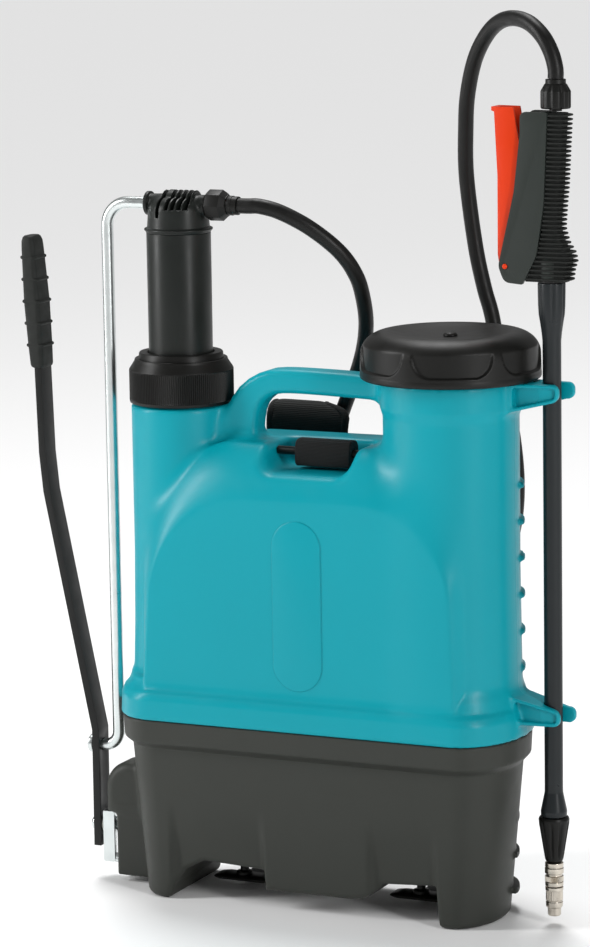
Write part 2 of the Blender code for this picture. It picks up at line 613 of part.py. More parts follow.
# ---------------------------------------------------------------- lance
def build_lance():
    slate = (0.035, 0.042, 0.042)
    black = (0.014, 0.014, 0.014)
    nickel = (0.62, 0.58, 0.52)
    axis = (LANCE_X, 0)
    foot = (LANCE_X, 0, 100)
    stem = [(99.4, 4.5), (99.4, 11.6), (104, 11.8), (121, LANCE_R), (525, LANCE_R), (548, 11.6),
            (576, 12.2), (576, 8), (540, 4.5)]
    add_object("lance_tube", *turned(stem, axis, "Z", 24, hollow=True), (0.045, 0.055, 0.06), 0.35,
               origin=foot)
    nut = [(58, 5), (58, 7.6), (62, 8.6), (90, 13.2), (97, 13.6), (98.8, 12.4), (98.8, 5)]
    add_object("lance_nut", *turned(nut, axis, "Z", 20, hollow=True), black, 0.5, origin=foot)
    body = [(35, 3), (35, 8.2), (43.5, 8.2), (44, 7), (46, 7), (46.4, 8.4), (57, 8.4), (57.6, 6),
            (57.6, 3)]
    add_object("nozzle_body", *turned(body, axis, "Z", 24, hollow=True), nickel, 0.25, 0.95,
               origin=foot)
    cap = [(8, 1), (8, 5.8), (16, 6.2), (17, 7.6), (31, 7.6), (34.4, 8.2), (34.4, 3.4), (14, 3),
           (13, 1)]
    add_object("nozzle_cap", *turned(cap, axis, "Z", 24, hollow=True), nickel, 0.25, 0.95,
               origin=foot)
    seal = [(576.5, 8.4), (576.5, 11.6), (579, 11.6), (579, 8.4)]
    add_object("lance_seal", *turned(seal, axis, "Z", 20, hollow=True), (0.02, 0.02, 0.02), 0.8,
               origin=foot)
    build_handle(slate, black)


def handle_outline():
    return rounded([(197.4, 724.5, 5), (197.4, 706, 10), (191.5, 655, 40), (176.5, 590, 12),
                    (182, 576, 8), (199, 574.5, 2), (212, 600, 30), (219, 645, 40),
                    (222.5, 724.5, 2)], 4)


def build_handle(slate, black):
    pin = (TRIGGER_PIN[0], 0, TRIGGER_PIN[1])
    body = add_object("handle_body", *prism(handle_outline(), -HANDLE_HALF_WIDTH,
                                            HANDLE_HALF_WIDTH, "Y"), slate, 0.45, origin=pin)
    slot = [(150, 560), (203, 560), (203, 604), (214.5, 640), (214.5, 740), (150, 740)]
    cut(body, prism(slot, -SLOT_HALF_WIDTH, SLOT_HALF_WIDTH, "Y"), "trigger_slot")
    cut(body, turned([(-20, 2.5), (20, 2.5)], TRIGGER_PIN, "Y", 16), "pin_hole")
    fuse(body, turned([(579.6, 11.3), (596, 11.3), (598, 8.5), (721, 8.5)], (LANCE_X, 0), "Z", 24),
         "core")
    cut(body, turned([(570, 4.6), (596.5, 4.6)], (LANCE_X, 0), "Z", 16), "outlet_bore")
    cover = rounded([(223.2, 723.5, 0), (219.7, 645, 40), (212.7, 600, 30), (200.8, 576.5, 0),
                     (241, 577, 2), (245, 596, 5), (234, 624, 20), (237, 660, 40),
                     (240.4, 723.5, 2)], 3)
    grip = add_object("grip_cover", *prism(cover, -12.5, 12.5, "Y"), (0.04, 0.042, 0.04), 0.75,
                      origin=pin)
    cut(grip, turned([(570, 11.8), (597, 11.8), (599, 9), (730, 9)], (LANCE_X, 0), "Z", 24),
        "core_room")
    add_object("trigger_pin", *turned([(-13.2, 2.2), (13.2, 2.2)], TRIGGER_PIN, "Y", 16),
               (0.7, 0.1, 0.02), 0.45, origin=pin)
    nut = [(727, 6), (727, 13.2), (743.5, 13.2), (748, 9.4), (752.4, 9), (752.4, 6)]
    add_object("handle_hose_nut", *turned(nut, (226, 0), "Z", 16, hollow=True), black, 0.5,
               origin=(226, 0, 727))
    tail = [(724.9, 2.6), (724.9, 5.6), (752.6, 5.6), (752.6, 2.6)]
    add_object("handle_hose_tail", *turned(tail, (226, 0), "Z", 16, hollow=True), black, 0.5,
               origin=(226, 0, 727))
    valve = [(187.5, 1), (187.5, 3.4), (212.6, 3.4), (212.6, 1)]
    add_object("valve_stem", *turned(valve, (0, 652), "X", 12, hollow=True), nickel_grey(), 0.3,
               0.9, origin=(187.5, 0, 652))
    build_trigger(pin)


def nickel_grey():
    return (0.55, 0.55, 0.55)


def build_trigger(pin):
    orange = (0.75, 0.07, 0.01)
    outer = [(169.8, 728.4), (169.8, 725), (172.4, 724), (175.2, 668), (175, 600), (177, 588),
             (183, 584.5), (188.5, 590), (197, 690), (190, 728)]
    trigger = add_object("trigger", *prism(outer, -TRIGGER_HALF_WIDTH, TRIGGER_HALF_WIDTH, "Y"),
                         orange, 0.45, origin=pin)
    inner = [(174.6, 740), (177.6, 668), (177.6, 604), (186.5, 602), (220, 640), (220, 740)]
    cut(trigger, prism(inner, -TRIGGER_HALF_WIDTH + 2, TRIGGER_HALF_WIDTH - 2, "Y"), "channel")
    cut(trigger, turned([(-20, 2.55), (20, 2.55)], TRIGGER_PIN, "Y", 16), "trigger_bore")


# ---------------------------------------------------------------- harness
def build_harness():
    webbing = (0.02, 0.02, 0.02)
    add_object("strap_pin", *turned([(-37.6, 3.8), (45.6, 3.8)], (-12, 416.5), "X", 16),
               (0.014, 0.014, 0.014), 0.45, origin=(0, -12, 416.5))
    loop = rounded([(-22.5, 404, 5), (-2, 404, 5), (-1, 428.5, 7), (-21, 428.5, 7)], 4)
    block = add_object("strap_loop", *prism(loop, -17, 37, "X"), webbing, 0.7,
                       origin=(0, -12, 416.5))
    cut(block, turned([(-20, 4.3), (40, 4.3)], (-12, 416.5), "X", 16), "pin_room")
    tail = [(10, -0.5, 409.2, 52), (10, 20, 409.2, 52), (10, 62, 409.2, 52), (10, 67.5, 409.6, 52)]
    add_object("yoke_webbing", *strap(tail, 2.4), webbing, 0.85)
    for side in (-1, 1):
        build_shoulder(side, webbing)


def shoulder_line(side):
    """Stations of a shoulder pad, over the top and down the wearer's side."""
    middle = 11.0
    run = [(59, 74, 408, 78), (59, 74, 424, 80), (60, 78, 437, 79), (72, 90, 441.5, 56),
           (76, 104, 438, 56), (78, 113, 424, 58), (79, 117, 400, 60), (80, 119, 350, 60),
           (80, 118, 290, 58), (78, 115, 240, 54), (76, 111, 214, 44)]
    return [(middle + side * x, y, z, width) for x, y, z, width in run]


def build_shoulder(side, webbing):
    name = "left" if side < 0 else "right"
    add_object("shoulder_pad_" + name, *strap(shoulder_line(side), 9.0), webbing, 0.9)
    top_x = 11 + side * 76
    foot_x = hook_x(side)
    upper = [(top_x, 110.5, 212, 30), (top_x, 110, 196, 30)]
    add_object("pad_webbing_" + name, *strap(upper, 2.2), webbing, 0.85)
    buckle = box(top_x - 20, top_x + 20, 106, 113, 166, 195)
    frame = add_object("buckle_" + name, *buckle, (0.015, 0.015, 0.015), 0.45)
    cut(frame, merge(box(top_x - 15.5, top_x + 15.5, 100, 120, 169.5, 175.5),
                     box(top_x - 15.5, top_x + 15.5, 100, 120, 185, 191)), "buckle_slots_" + name)
    lower = [(top_x, 104.4, 200, 25), (top_x, 104.4, 160, 25), (top_x, 101, 120, 25),
             (foot_x + side * 2, 92, 60, 25), (foot_x, 80, 22, 25), (foot_x, 66, 10, 25),
             (foot_x, 45, 7.5, 25), (foot_x, 15, 7.5, 25)]
    add_object("lower_webbing_" + name, *strap(lower, 2.2), webbing, 0.85)
    hook = add_object("strap_hook_" + name, *box(foot_x - 28, foot_x + 28, -9, 13, 9.5, 15),
                      (0.015, 0.015, 0.015), 0.5)
    fuse(hook, turned([(12, 4), (42, 4)], (foot_x, 2), "Z", 12), "hook_stem_" + name)


# ---------------------------------------------------------------- hose
def build_hose(name, route):
    """Plain round tube on a spline, from its fitting to the middle of the loop."""
    line = smooth_route(route, 2.2 * 2 * HOSE_R)
    stub = HOSE_R * 0.6
    line.insert(1, line[0] + (Vector(route[1]) - line[0]).normalized() * stub)
    line.insert(-1, line[-1] + (Vector(route[-2]) - line[-1]).normalized() * stub)
    curve = bpy.data.curves.new(name, "CURVE")
    curve.dimensions = "3D"
    curve.bevel_depth = HOSE_R * MM
    curve.bevel_resolution = 2
    curve.use_fill_caps = True
    spline = curve.splines.new("POLY")
    spline.points.add(len(line) - 1)
    for point, position in zip(spline.points, line):
        point.co = (*(position * MM), 1.0)
    obj = bpy.data.objects.new(name, curve)
    obj.location = FRAME_SHIFT * MM
    bpy.context.scene.collection.objects.link(obj)
    curve.materials.append(make_material(name, (0.012, 0.012, 0.012), 0.5))


def clear_scene():
    for obj in list(bpy.data.objects):
        bpy.data.objects.remove(obj, do_unlink=True)


def main():
    clear_scene()
    build_tank()
    build_base()
    build_filler()
    build_pump()
    build_lever()
    build_pivot()
    build_rod()
    build_lance()
    build_harness()
    build_hose("hose_pump_side", HOSE_PUMP_ROUTE)
    build_hose("hose_lance_side", HOSE_LANCE_ROUTE)


main()
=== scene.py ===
"""Looks of the backpack sprayer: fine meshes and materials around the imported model.

Lengths are millimetres in the tank's own axes until a mesh is made: X runs from the lever
(negative) to the lance, Y from the outer face (negative) to the wearer, Z up from the ground.
"""

import math

import bmesh
import bpy
import numpy as np
from mathutils import Matrix, Vector

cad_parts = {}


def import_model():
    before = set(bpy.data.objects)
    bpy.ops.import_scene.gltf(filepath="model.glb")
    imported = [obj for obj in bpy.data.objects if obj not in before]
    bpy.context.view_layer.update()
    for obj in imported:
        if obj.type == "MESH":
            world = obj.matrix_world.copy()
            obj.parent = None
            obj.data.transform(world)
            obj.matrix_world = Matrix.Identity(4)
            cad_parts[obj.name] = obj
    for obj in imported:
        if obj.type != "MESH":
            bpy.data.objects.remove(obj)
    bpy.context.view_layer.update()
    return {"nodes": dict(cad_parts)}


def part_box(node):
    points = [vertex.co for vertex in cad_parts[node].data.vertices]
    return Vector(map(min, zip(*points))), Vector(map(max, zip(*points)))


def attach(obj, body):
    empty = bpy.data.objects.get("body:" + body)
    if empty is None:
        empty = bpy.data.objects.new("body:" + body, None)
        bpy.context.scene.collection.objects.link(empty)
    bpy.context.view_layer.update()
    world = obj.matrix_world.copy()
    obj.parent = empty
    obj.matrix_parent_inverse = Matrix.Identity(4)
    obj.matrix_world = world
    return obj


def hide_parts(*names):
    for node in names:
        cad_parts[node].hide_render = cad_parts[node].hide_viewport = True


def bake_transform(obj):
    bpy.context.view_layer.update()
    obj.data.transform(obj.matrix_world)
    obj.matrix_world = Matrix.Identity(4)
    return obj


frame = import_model()

MM = 0.001
PUMP_X = -139.0
FILLER_X = 126.0
LANCE_X = 221.5
LID_R = 80.3
OUTLET_Z = 634.0
HANDLE_HOSE_X = 226.0
PIVOT_Z = 49.3
ROD_PIN_Z = 125.6


def frame_shift():
    """From the tank's axes to the frame's: the lid is turned about the filler's axis."""
    low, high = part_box("filler_lid")
    middle_x = (low[0] + high[0]) / 2 / MM
    middle_y = (low[1] + high[1]) / 2 / MM
    return Vector((middle_x - FILLER_X, middle_y, 0.0))


SHIFT = frame_shift()


def world(point):
    """A point in millimetres in the tank's axes, as metres in the frame."""
    return (Vector(point) + SHIFT) * MM


# ---------------------------------------------------------------- camera, light and floor
CAMERA_AT = (1460.9, -3221.8, 1001.3)
CAMERA_TARGET = (-26.8, 0.0, 393.3)
CAMERA_ROLL = -0.894
FOCAL_IN_HEIGHTS = 4.2152
SENSOR = 36.0
SKY_STRENGTH = 0.24
SUN_STRENGTH = 2.0
SUN_WIDTH = math.radians(24)
SUN_TILT = (math.radians(-18), math.radians(-12), 0)
LAMP_AIM = Vector((0.0, 0.0, 0.36))
# Place and size in metres, power in watts.
LAMPS = {"left_box": ((-2.5, -1.4, 1.45), (0.45, 2.0), 66),
         "right_box": ((2.7, -1.5, 1.45), (0.4, 2.0), 44),
         "front_box": ((0.3, -3.2, 2.6), (1.2, 0.6), 3),
         "back_box": ((-0.8, 1.9, 2.9), (1.6, 1.0), 12)}
FLOOR_HALF = 40.0


def make_camera():
    data = bpy.data.cameras.new("camera")
    data.sensor_fit = "AUTO"
    data.sensor_width = SENSOR
    data.lens = SENSOR * FOCAL_IN_HEIGHTS
    data.clip_end = 50
    camera = bpy.data.objects.new("camera", data)
    bpy.context.scene.collection.objects.link(camera)
    place = world(CAMERA_AT)
    look = (world(CAMERA_TARGET) - place).to_track_quat("-Z", "Y").to_matrix().to_4x4()
    camera.matrix_world = Matrix.Translation(place) @ look @ Matrix.Rotation(
        math.radians(CAMERA_ROLL), 4, "Z")
    bpy.context.scene.camera = camera


def make_lamp(name, place, size, power):
    data = bpy.data.lights.new(name, "AREA")
    data.shape = "RECTANGLE"
    data.size, data.size_y = size
    data.energy = power
    lamp = bpy.data.objects.new(name, data)
    lamp.location = place
    lamp.rotation_euler = (LAMP_AIM - Vector(place)).to_track_quat("-Z", "Y").to_euler()
    bpy.context.scene.collection.objects.link(lamp)


def make_studio():
    bpy.context.scene.view_settings.view_transform = "Standard"
    sky = bpy.data.worlds.new("studio")
    sky.use_nodes = True
    glow = sky.node_tree.nodes["Background"].inputs
    glow["Color"].default_value = (1, 1, 1, 1)
    glow["Strength"].default_value = SKY_STRENGTH
    bpy.context.scene.world = sky
    overhead = bpy.data.lights.new("overhead", "SUN")
    overhead.energy = SUN_STRENGTH
    overhead.angle = SUN_WIDTH
    sun = bpy.data.objects.new("overhead", overhead)
    sun.rotation_euler = SUN_TILT
    bpy.context.scene.collection.objects.link(sun)
    for name, (place, size, power) in LAMPS.items():
        make_lamp(name, place, size, power)
    mesh = bpy.data.meshes.new("floor")
    half = FLOOR_HALF
    mesh.from_pydata([(-half, -half, 0), (half, -half, 0), (half, half, 0), (-half, half, 0)],
                     [], [(0, 1, 2, 3)])
    floor = bpy.data.objects.new("floor", mesh)
    floor.location.z = -0.0005
    bpy.context.scene.collection.objects.link(floor)
    paint = bpy.data.materials.new("floor")
    paint.use_nodes = True
    shader = paint.node_tree.nodes["Principled BSDF"]
    shader.inputs["Base Color"].default_value = (0.93, 0.93, 0.93, 1)
    shader.inputs["Roughness"].default_value = 0.9
    mesh.materials.append(paint)


# ---------------------------------------------------------------- materials
def linear(red, green, blue):
    """sRGB values from 0 to 255 as the linear colour that a shader takes."""
    return tuple(((v / 255 + 0.055) / 1.055) ** 2.4 if v > 10.3 else v / 255 / 12.92
                 for v in (red, green, blue))


class Surface:
    """One procedural material, built up on its Principled shader in object coordinates."""

    def __init__(self, name, roughness, metallic=0.0):
        self.material = bpy.data.materials.new(name)
        self.material.use_nodes = True
        self.tree = self.material.node_tree
        self.shader = self.tree.nodes["Principled BSDF"]
        self.shader.inputs["Roughness"].default_value = roughness
        self.shader.inputs["Metallic"].default_value = metallic
        self.shader.inputs["Specular IOR Level"].default_value = 0.5 if metallic else 0.25
        self.place = self.node("ShaderNodeTexCoord").outputs["Object"]
        self.normal = None

    def node(self, kind, **values):
        made = self.tree.nodes.new(kind)
        for name, value in values.items():
            setattr(made, name, value)
        return made

    def link(self, a, b):
        self.tree.links.new(a, b)

    def stretch(self, scale):
        mapping = self.node("ShaderNodeMapping")
        mapping.inputs["Scale"].default_value = scale
        self.link(self.place, mapping.inputs["Vector"])
        return mapping.outputs["Vector"]

    def noise(self, scale, detail, stretch=None):
        texture = self.node("ShaderNodeTexNoise")
        texture.inputs["Scale"].default_value = scale
        texture.inputs["Detail"].default_value = detail
        self.link(self.stretch(stretch) if stretch else self.place, texture.inputs["Vector"])
        return texture.outputs["Fac"]

    def wave(self, scale, direction, distortion):
        texture = self.node("ShaderNodeTexWave", wave_type="BANDS", bands_direction=direction)
        texture.inputs["Scale"].default_value = scale
        texture.inputs["Distortion"].default_value = distortion
        self.link(self.place, texture.inputs["Vector"])
        return texture.outputs["Fac"]

    def span(self, value, low, high, start=0.3, stop=0.7):
        ranged = self.node("ShaderNodeMapRange")
        self.link(value, ranged.inputs["Value"])
        for name, number in (("From Min", start), ("From Max", stop), ("To Min", low),
                             ("To Max", high)):
            ranged.inputs[name].default_value = number
        return ranged.outputs["Result"]

    def maths(self, operation, a, b):
        made = self.node("ShaderNodeMath", operation=operation)
        for socket, value in zip(made.inputs, (a, b)):
            if isinstance(value, (int, float)):
                socket.default_value = value
            else:
                self.link(value, socket)
        return made.outputs["Value"]

    def colour(self, dark, light, factor):
        mix = self.node("ShaderNodeMix", data_type="RGBA")
        sockets = [s for s in mix.inputs if s.type == "RGBA"]
        sockets[0].default_value = (*dark, 1)
        sockets[1].default_value = (*light, 1)
        self.link(factor, mix.inputs["Factor"])
        result = [s for s in mix.outputs if s.type == "RGBA"][0]
        self.link(result, self.shader.inputs["Base Color"])

    def roughness(self, value, low, high):
        self.link(self.span(value, low, high), self.shader.inputs["Roughness"])

    def bump(self, height, strength, distance):
        made = self.node("ShaderNodeBump")
        made.inputs["Strength"].default_value = strength
        made.inputs["Distance"].default_value = distance
        self.link(height, made.inputs["Height"])
        if self.normal:
            self.link(self.normal, made.inputs["Normal"])
        self.normal = made.outputs["Normal"]
        self.link(self.normal, self.shader.inputs["Normal"])

    def sheen(self, weight, roughness):
        self.shader.inputs["Sheen Weight"].default_value = weight
        self.shader.inputs["Sheen Roughness"].default_value = roughness


def tint(colour, share):
    return tuple(value * share for value in colour)


def mottled(name, tones, roughness, clouds, gloss, grain, metallic=0.0):
    """Clouding between two tones, uneven gloss and a fine grain.

    Each noise is (scale, detail) with an optional stretch; gloss adds how far it takes the
    roughness down and up, and grain adds its strength and its height in metres.
    """
    surface = Surface(name, roughness, metallic)
    surface.colour(*tones, surface.noise(*clouds))
    surface.roughness(surface.noise(*gloss[0]), roughness - gloss[1], roughness + gloss[2])
    surface.bump(surface.noise(*grain[0]), *grain[1:])
    return surface


def moulded(name, colour, roughness, grain=1400.0, depth=0.25, cloud=9.0):
    """Moulded plastic with a spark-eroded grain."""
    return mottled(name, (tint(colour, 0.93), tint(colour, 1.06)), roughness, (cloud, 3.0),
                   ((38.0, 4.0), 0.05, 0.06), ((grain, 1.0), depth, 0.0001))


def rubber(name, colour, roughness):
    return mottled(name, (tint(colour, 0.8), tint(colour, 1.2)), roughness, (60.0, 4.0),
                   ((140.0, 3.0), 0.07, 0.08), ((1700.0, 2.0), 0.3, 0.0001))


def tank_material():
    colour = linear(0, 150, 164)
    surface = moulded("blown_tank", colour, 0.36, grain=700.0, depth=0.12, cloud=5.0)
    surface.bump(surface.noise(26.0, 2.0), 0.06, 0.002)
    axes = surface.node("ShaderNodeSeparateXYZ")
    surface.link(surface.place, axes.inputs["Vector"])
    off_seam = surface.maths("ABSOLUTE", surface.maths("SUBTRACT", axes.outputs["Y"],
                                                       SHIFT.y * MM), 0.0)
    surface.bump(surface.span(off_seam, 1.0, 0.0, 0.0002, 0.0011), 0.35, 0.0005)
    surface.shader.inputs["Specular IOR Level"].default_value = 0.2
    surface.shader.inputs["Coat Weight"].default_value = 0.04
    surface.shader.inputs["Coat Roughness"].default_value = 0.2
    return surface.material


def zinc_material():
    return mottled("zinc_plate", (linear(196, 202, 202), linear(224, 229, 228)), 0.27,
                   (55.0, 4.0), ((30.0, 3.0, (1, 1, 0.05)), 0.07, 0.07),
                   ((900.0, 2.0, (1, 1, 0.04)), 0.12, 0.0001), 1.0).material


def nickel_material():
    return mottled("nickel_plate", (linear(186, 178, 166), linear(222, 214, 202)), 0.2,
                   (90.0, 3.0), ((160.0, 3.0), 0.05, 0.08),
                   ((1500.0, 2.0, (1, 1, 0.2)), 0.1, 0.0001), 1.0).material


def powder_material():
    return mottled("powder_coat", (linear(17, 18, 18), linear(26, 27, 26)), 0.4, (25.0, 3.0),
                   ((70.0, 3.0), 0.06, 0.06), ((900.0, 3.0), 0.35, 0.00015)).material


def natural_material():
    return mottled("natural_moulding", (linear(205, 206, 198), linear(226, 227, 220)), 0.45,
                   (20.0, 3.0), ((50.0, 3.0), 0.07, 0.07), ((800.0, 2.0), 0.15, 0.0001)).material


def webbing_material():
    """Woven tape: ribs across the band and finer twisted yarns along it."""
    surface = Surface("woven_tape", 0.8)
    ribs = surface.wave(260.0, "Z", 0.3)
    yarns = surface.wave(420.0, "X", 0.6)
    weave = surface.maths("MULTIPLY", ribs, yarns)
    surface.colour(linear(8, 8, 8), linear(24, 24, 23), weave)
    surface.bump(weave, 0.8, 0.0005)
    surface.bump(surface.noise(2200.0, 2.0), 0.3, 0.0001)
    surface.sheen(0.08, 0.5)
    return surface.material


def knit_material():
    """Knitted spacer fabric with rows across the pad."""
    surface = Surface("spacer_knit", 0.88)
    rows = surface.wave(210.0, "Z", 2.4)
    loops = surface.wave(260.0, "X", 3.0)
    knit = surface.maths("ADD", rows, surface.maths("MULTIPLY", loops, 0.35))
    surface.colour(linear(11, 12, 11), linear(36, 37, 35), surface.maths("MULTIPLY", knit, 0.6))
    surface.bump(knit, 0.8, 0.0004)
    surface.bump(surface.noise(1500.0, 3.0), 0.35, 0.0002)
    surface.sheen(0.1, 0.45)
    return surface.material


def make_materials():
    return {
        "tank_plastic": tank_material(),
        "base_plastic": moulded("moulded_base", linear(52, 54, 50), 0.5, grain=1100.0,
                                depth=0.35).material,
        "black_plastic": moulded("black_moulding", linear(15, 15, 13), 0.42).material,
        "pump_plastic": moulded("pump_moulding", linear(28, 31, 29), 0.36).material,
        "handle_plastic": moulded("handle_moulding", linear(44, 49, 46), 0.48).material,
        "lance_plastic": moulded("lance_moulding", linear(32, 36, 38), 0.32).material,
        "trigger_plastic": moulded("trigger_moulding", linear(214, 56, 14), 0.36).material,
        "natural_plastic": natural_material(),
        "grip_rubber": rubber("soft_grip", linear(30, 32, 30), 0.62).material,
        "seal_rubber": rubber("seal", linear(24, 24, 24), 0.55).material,
        "hose_rubber": rubber("hose_cover", linear(16, 16, 15), 0.42).material,
        "lever_paint": powder_material(),
        "zinc_steel": zinc_material(),
        "nickel_brass": nickel_material(),
        "webbing": webbing_material(),
        "pad_fabric": knit_material(),
    }


MATERIALS = make_materials()


# ---------------------------------------------------------------- mesh helpers
def add_piece(name, points, faces, slot, body, nodes=(), sharp=35.0):
    """A smooth-shaded mesh piece that rides on a body and stands for CAD nodes."""
    mesh = bpy.data.meshes.new(name)
    shift = np.array(SHIFT)
    mesh.from_pydata(((np.asarray(points, dtype=float) + shift) * MM).tolist(), [], faces)
    mesh.update()
    shape = bmesh.new()
    shape.from_mesh(mesh)
    bmesh.ops.remove_doubles(shape, verts=shape.verts, dist=0.000005)
    bmesh.ops.recalc_face_normals(shape, faces=shape.faces)
    shape.to_mesh(mesh)
    shape.free()
    obj = bpy.data.objects.new(name, mesh)
    bpy.context.scene.collection.objects.link(obj)
    return finish_piece(obj, slot, body, nodes, sharp)


def finish_piece(obj, slot, body, nodes=(), sharp=35.0):
    obj.data.materials.clear()
    obj.data.materials.append(MATERIALS[slot])
    obj.data.shade_smooth()
    obj.data.set_sharp_from_angle(angle=math.radians(sharp))
    if body:
        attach(obj, body)
    if nodes:
        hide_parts(*nodes)
    return obj


def bake_modifiers(obj):
    graph = bpy.context.evaluated_depsgraph_get()
    mesh = bpy.data.meshes.new_from_object(obj.evaluated_get(graph))
    obj.modifiers.clear()
    obj.data = mesh


def bevel(obj, width, segments=2):
    modifier = obj.modifiers.new("bevel", "BEVEL")
    modifier.width = width * MM
    modifier.segments = segments
    modifier.limit_method = "ANGLE"
    modifier.angle_limit = math.radians(30)
    modifier.use_clamp_overlap = True
    bake_modifiers(obj)


def refined(node, slot, body, width=0.8, segments=2):
    """The CAD solid's shape again, with its flat faces cleaned and its edges rounded."""
    mesh = frame["nodes"][node].data.copy()
    obj = bpy.data.objects.new(node + "_fine", mesh)
    bpy.context.scene.collection.objects.link(obj)
    shape = bmesh.new()
    shape.from_mesh(mesh)
    bmesh.ops.remove_doubles(shape, verts=shape.verts, dist=0.00001)
    bmesh.ops.dissolve_limit(shape, angle_limit=math.radians(0.5), verts=shape.verts,
                             edges=shape.edges)
    shape.to_mesh(mesh)
    shape.free()
    bevel(obj, width, segments)
    return finish_piece(obj, slot, body, (node,), 40.0)


def dress(slot, *nodes):
    """Give CAD nodes that stay as they are their finished material."""
    for node in nodes:
        data = frame["nodes"][node].data
        data.materials.clear()
        data.materials.append(MATERIALS[slot])


def loft(rings, closed=False):
    count = len(rings[0])
    points = [p for ring in rings for p in ring]
    faces = []
    spans = len(rings) if closed else len(rings) - 1
    for k in range(spans):
        low = k * count
        high = ((k + 1) % len(rings)) * count
        for i in range(count):
            j = (i + 1) % count
            faces.append((low + i, low + j, high + j, high + i))
    if not closed:
        faces.append(tuple(range(count))[::-1])
        faces.append(tuple(range(len(points) - count, len(points))))
    return points, faces


def merge(*parts):
    points = []
    faces = []
    for part_points, part_faces in parts:
        start = len(points)
        points.extend(part_points)
        faces.extend([tuple(i + start for i in face) for face in part_faces])
    return points, faces


def soften(profile, radius, closed=True, steps=3):
    """Round each corner of a profile by up to a radius, limited by its neighbours."""
    count = len(profile)
    result = []
    for i, here in enumerate(profile):
        here = Vector(here[:2])
        if not closed and i in (0, count - 1):
            result.append(tuple(here))
            continue
        before = Vector(profile[i - 1][:2]) - here
        after = Vector(profile[(i + 1) % count][:2]) - here
        reach = min(radius, before.length * 0.45, after.length * 0.45)
        if reach < 0.02 or before.angle(-after) < math.radians(8):
            result.append(tuple(here))
            continue
        start = here + before.normalized() * reach
        end = here + after.normalized() * reach
        for k in range(steps + 1):
            t = k / steps
            result.append(tuple(start * (1 - t) ** 2 + here * 2 * t * (1 - t) + end * t * t))
    return result


def turned(profile, centre=(0.0, 0.0), axis="Z", steps=72, hollow=False, ripple=None, soft=0.5):
    """Turn (station, radius) pairs about an axis; ripple(radius, station, angle) shapes it."""
    order = {"X": lambda a, u, v: (a, u, v), "Y": lambda a, u, v: (u, a, v),
             "Z": lambda a, u, v: (u, v, a)}[axis]
    rings = []
    for station, radius in (soften(profile, soft, hollow) if soft else profile):
        ring = []
        for i in range(steps):
            angle = 2 * math.pi * i / steps
            r = max(ripple(radius, station, angle) if ripple else radius, 0.01)
            ring.append(order(station, centre[0] + r * math.cos(angle),
                              centre[1] + r * math.sin(angle)))
        rings.append(ring)
    return loft(rings, closed=hollow)


def turned_piece(name, node, profile, centre, slot, body, sharp=35.0, **shape):
    """A turned piece that stands for one CAD node; shape holds the options of turned."""
    return add_piece(name, *turned(profile, centre, **shape), slot, body, (node,), sharp)


def smooth_route(points, spacing):
    """Points at an even spacing along a Catmull-Rom curve through the given points."""
    stations = [Vector(p) for p in points]
    ends = [2 * stations[0] - stations[1]] + stations + [2 * stations[-1] - stations[-2]]
    fine = []
    for i in range(1, len(ends) - 2):
        a, b, c, d = ends[i - 1:i + 3]
        for k in range(12):
            t = k / 12
            fine.append(0.5 * ((2 * b) + (c - a) * t + (2 * a - 5 * b + 4 * c - d) * t * t
                               + (3 * b - a - 3 * c + d) * t ** 3))
    fine.append(stations[-1])
    travelled = [0.0]
    for p, q in zip(fine, fine[1:]):
        travelled.append(travelled[-1] + (q - p).length)
    count = max(2, round(travelled[-1] / spacing))
    even = []
    k = 0
    for i in range(count + 1):
        goal = travelled[-1] * i / count
        while k < len(fine) - 2 and travelled[k + 1] < goal:
            k += 1
        share = (goal - travelled[k]) / max(travelled[k + 1] - travelled[k], 1e-9)
        even.append(fine[k].lerp(fine[k + 1], min(share, 1.0)))
    return even


def swept(line, radius, steps=24):
    """Round bar along a 3-D line, carried without twist."""
    rings = []
    side = None
    for i, here in enumerate(line):
        along = (line[min(i + 1, len(line) - 1)] - line[max(i - 1, 0)]).normalized()
        if side is None:
            side = along.orthogonal().normalized()
        side = (side - along * side.dot(along)).normalized()
        other = along.cross(side)
        rings.append([tuple(here + side * radius * math.cos(t) + other * radius * math.sin(t))
                      for t in [2 * math.pi * k / steps for k in range(steps)]])
    return loft(rings)


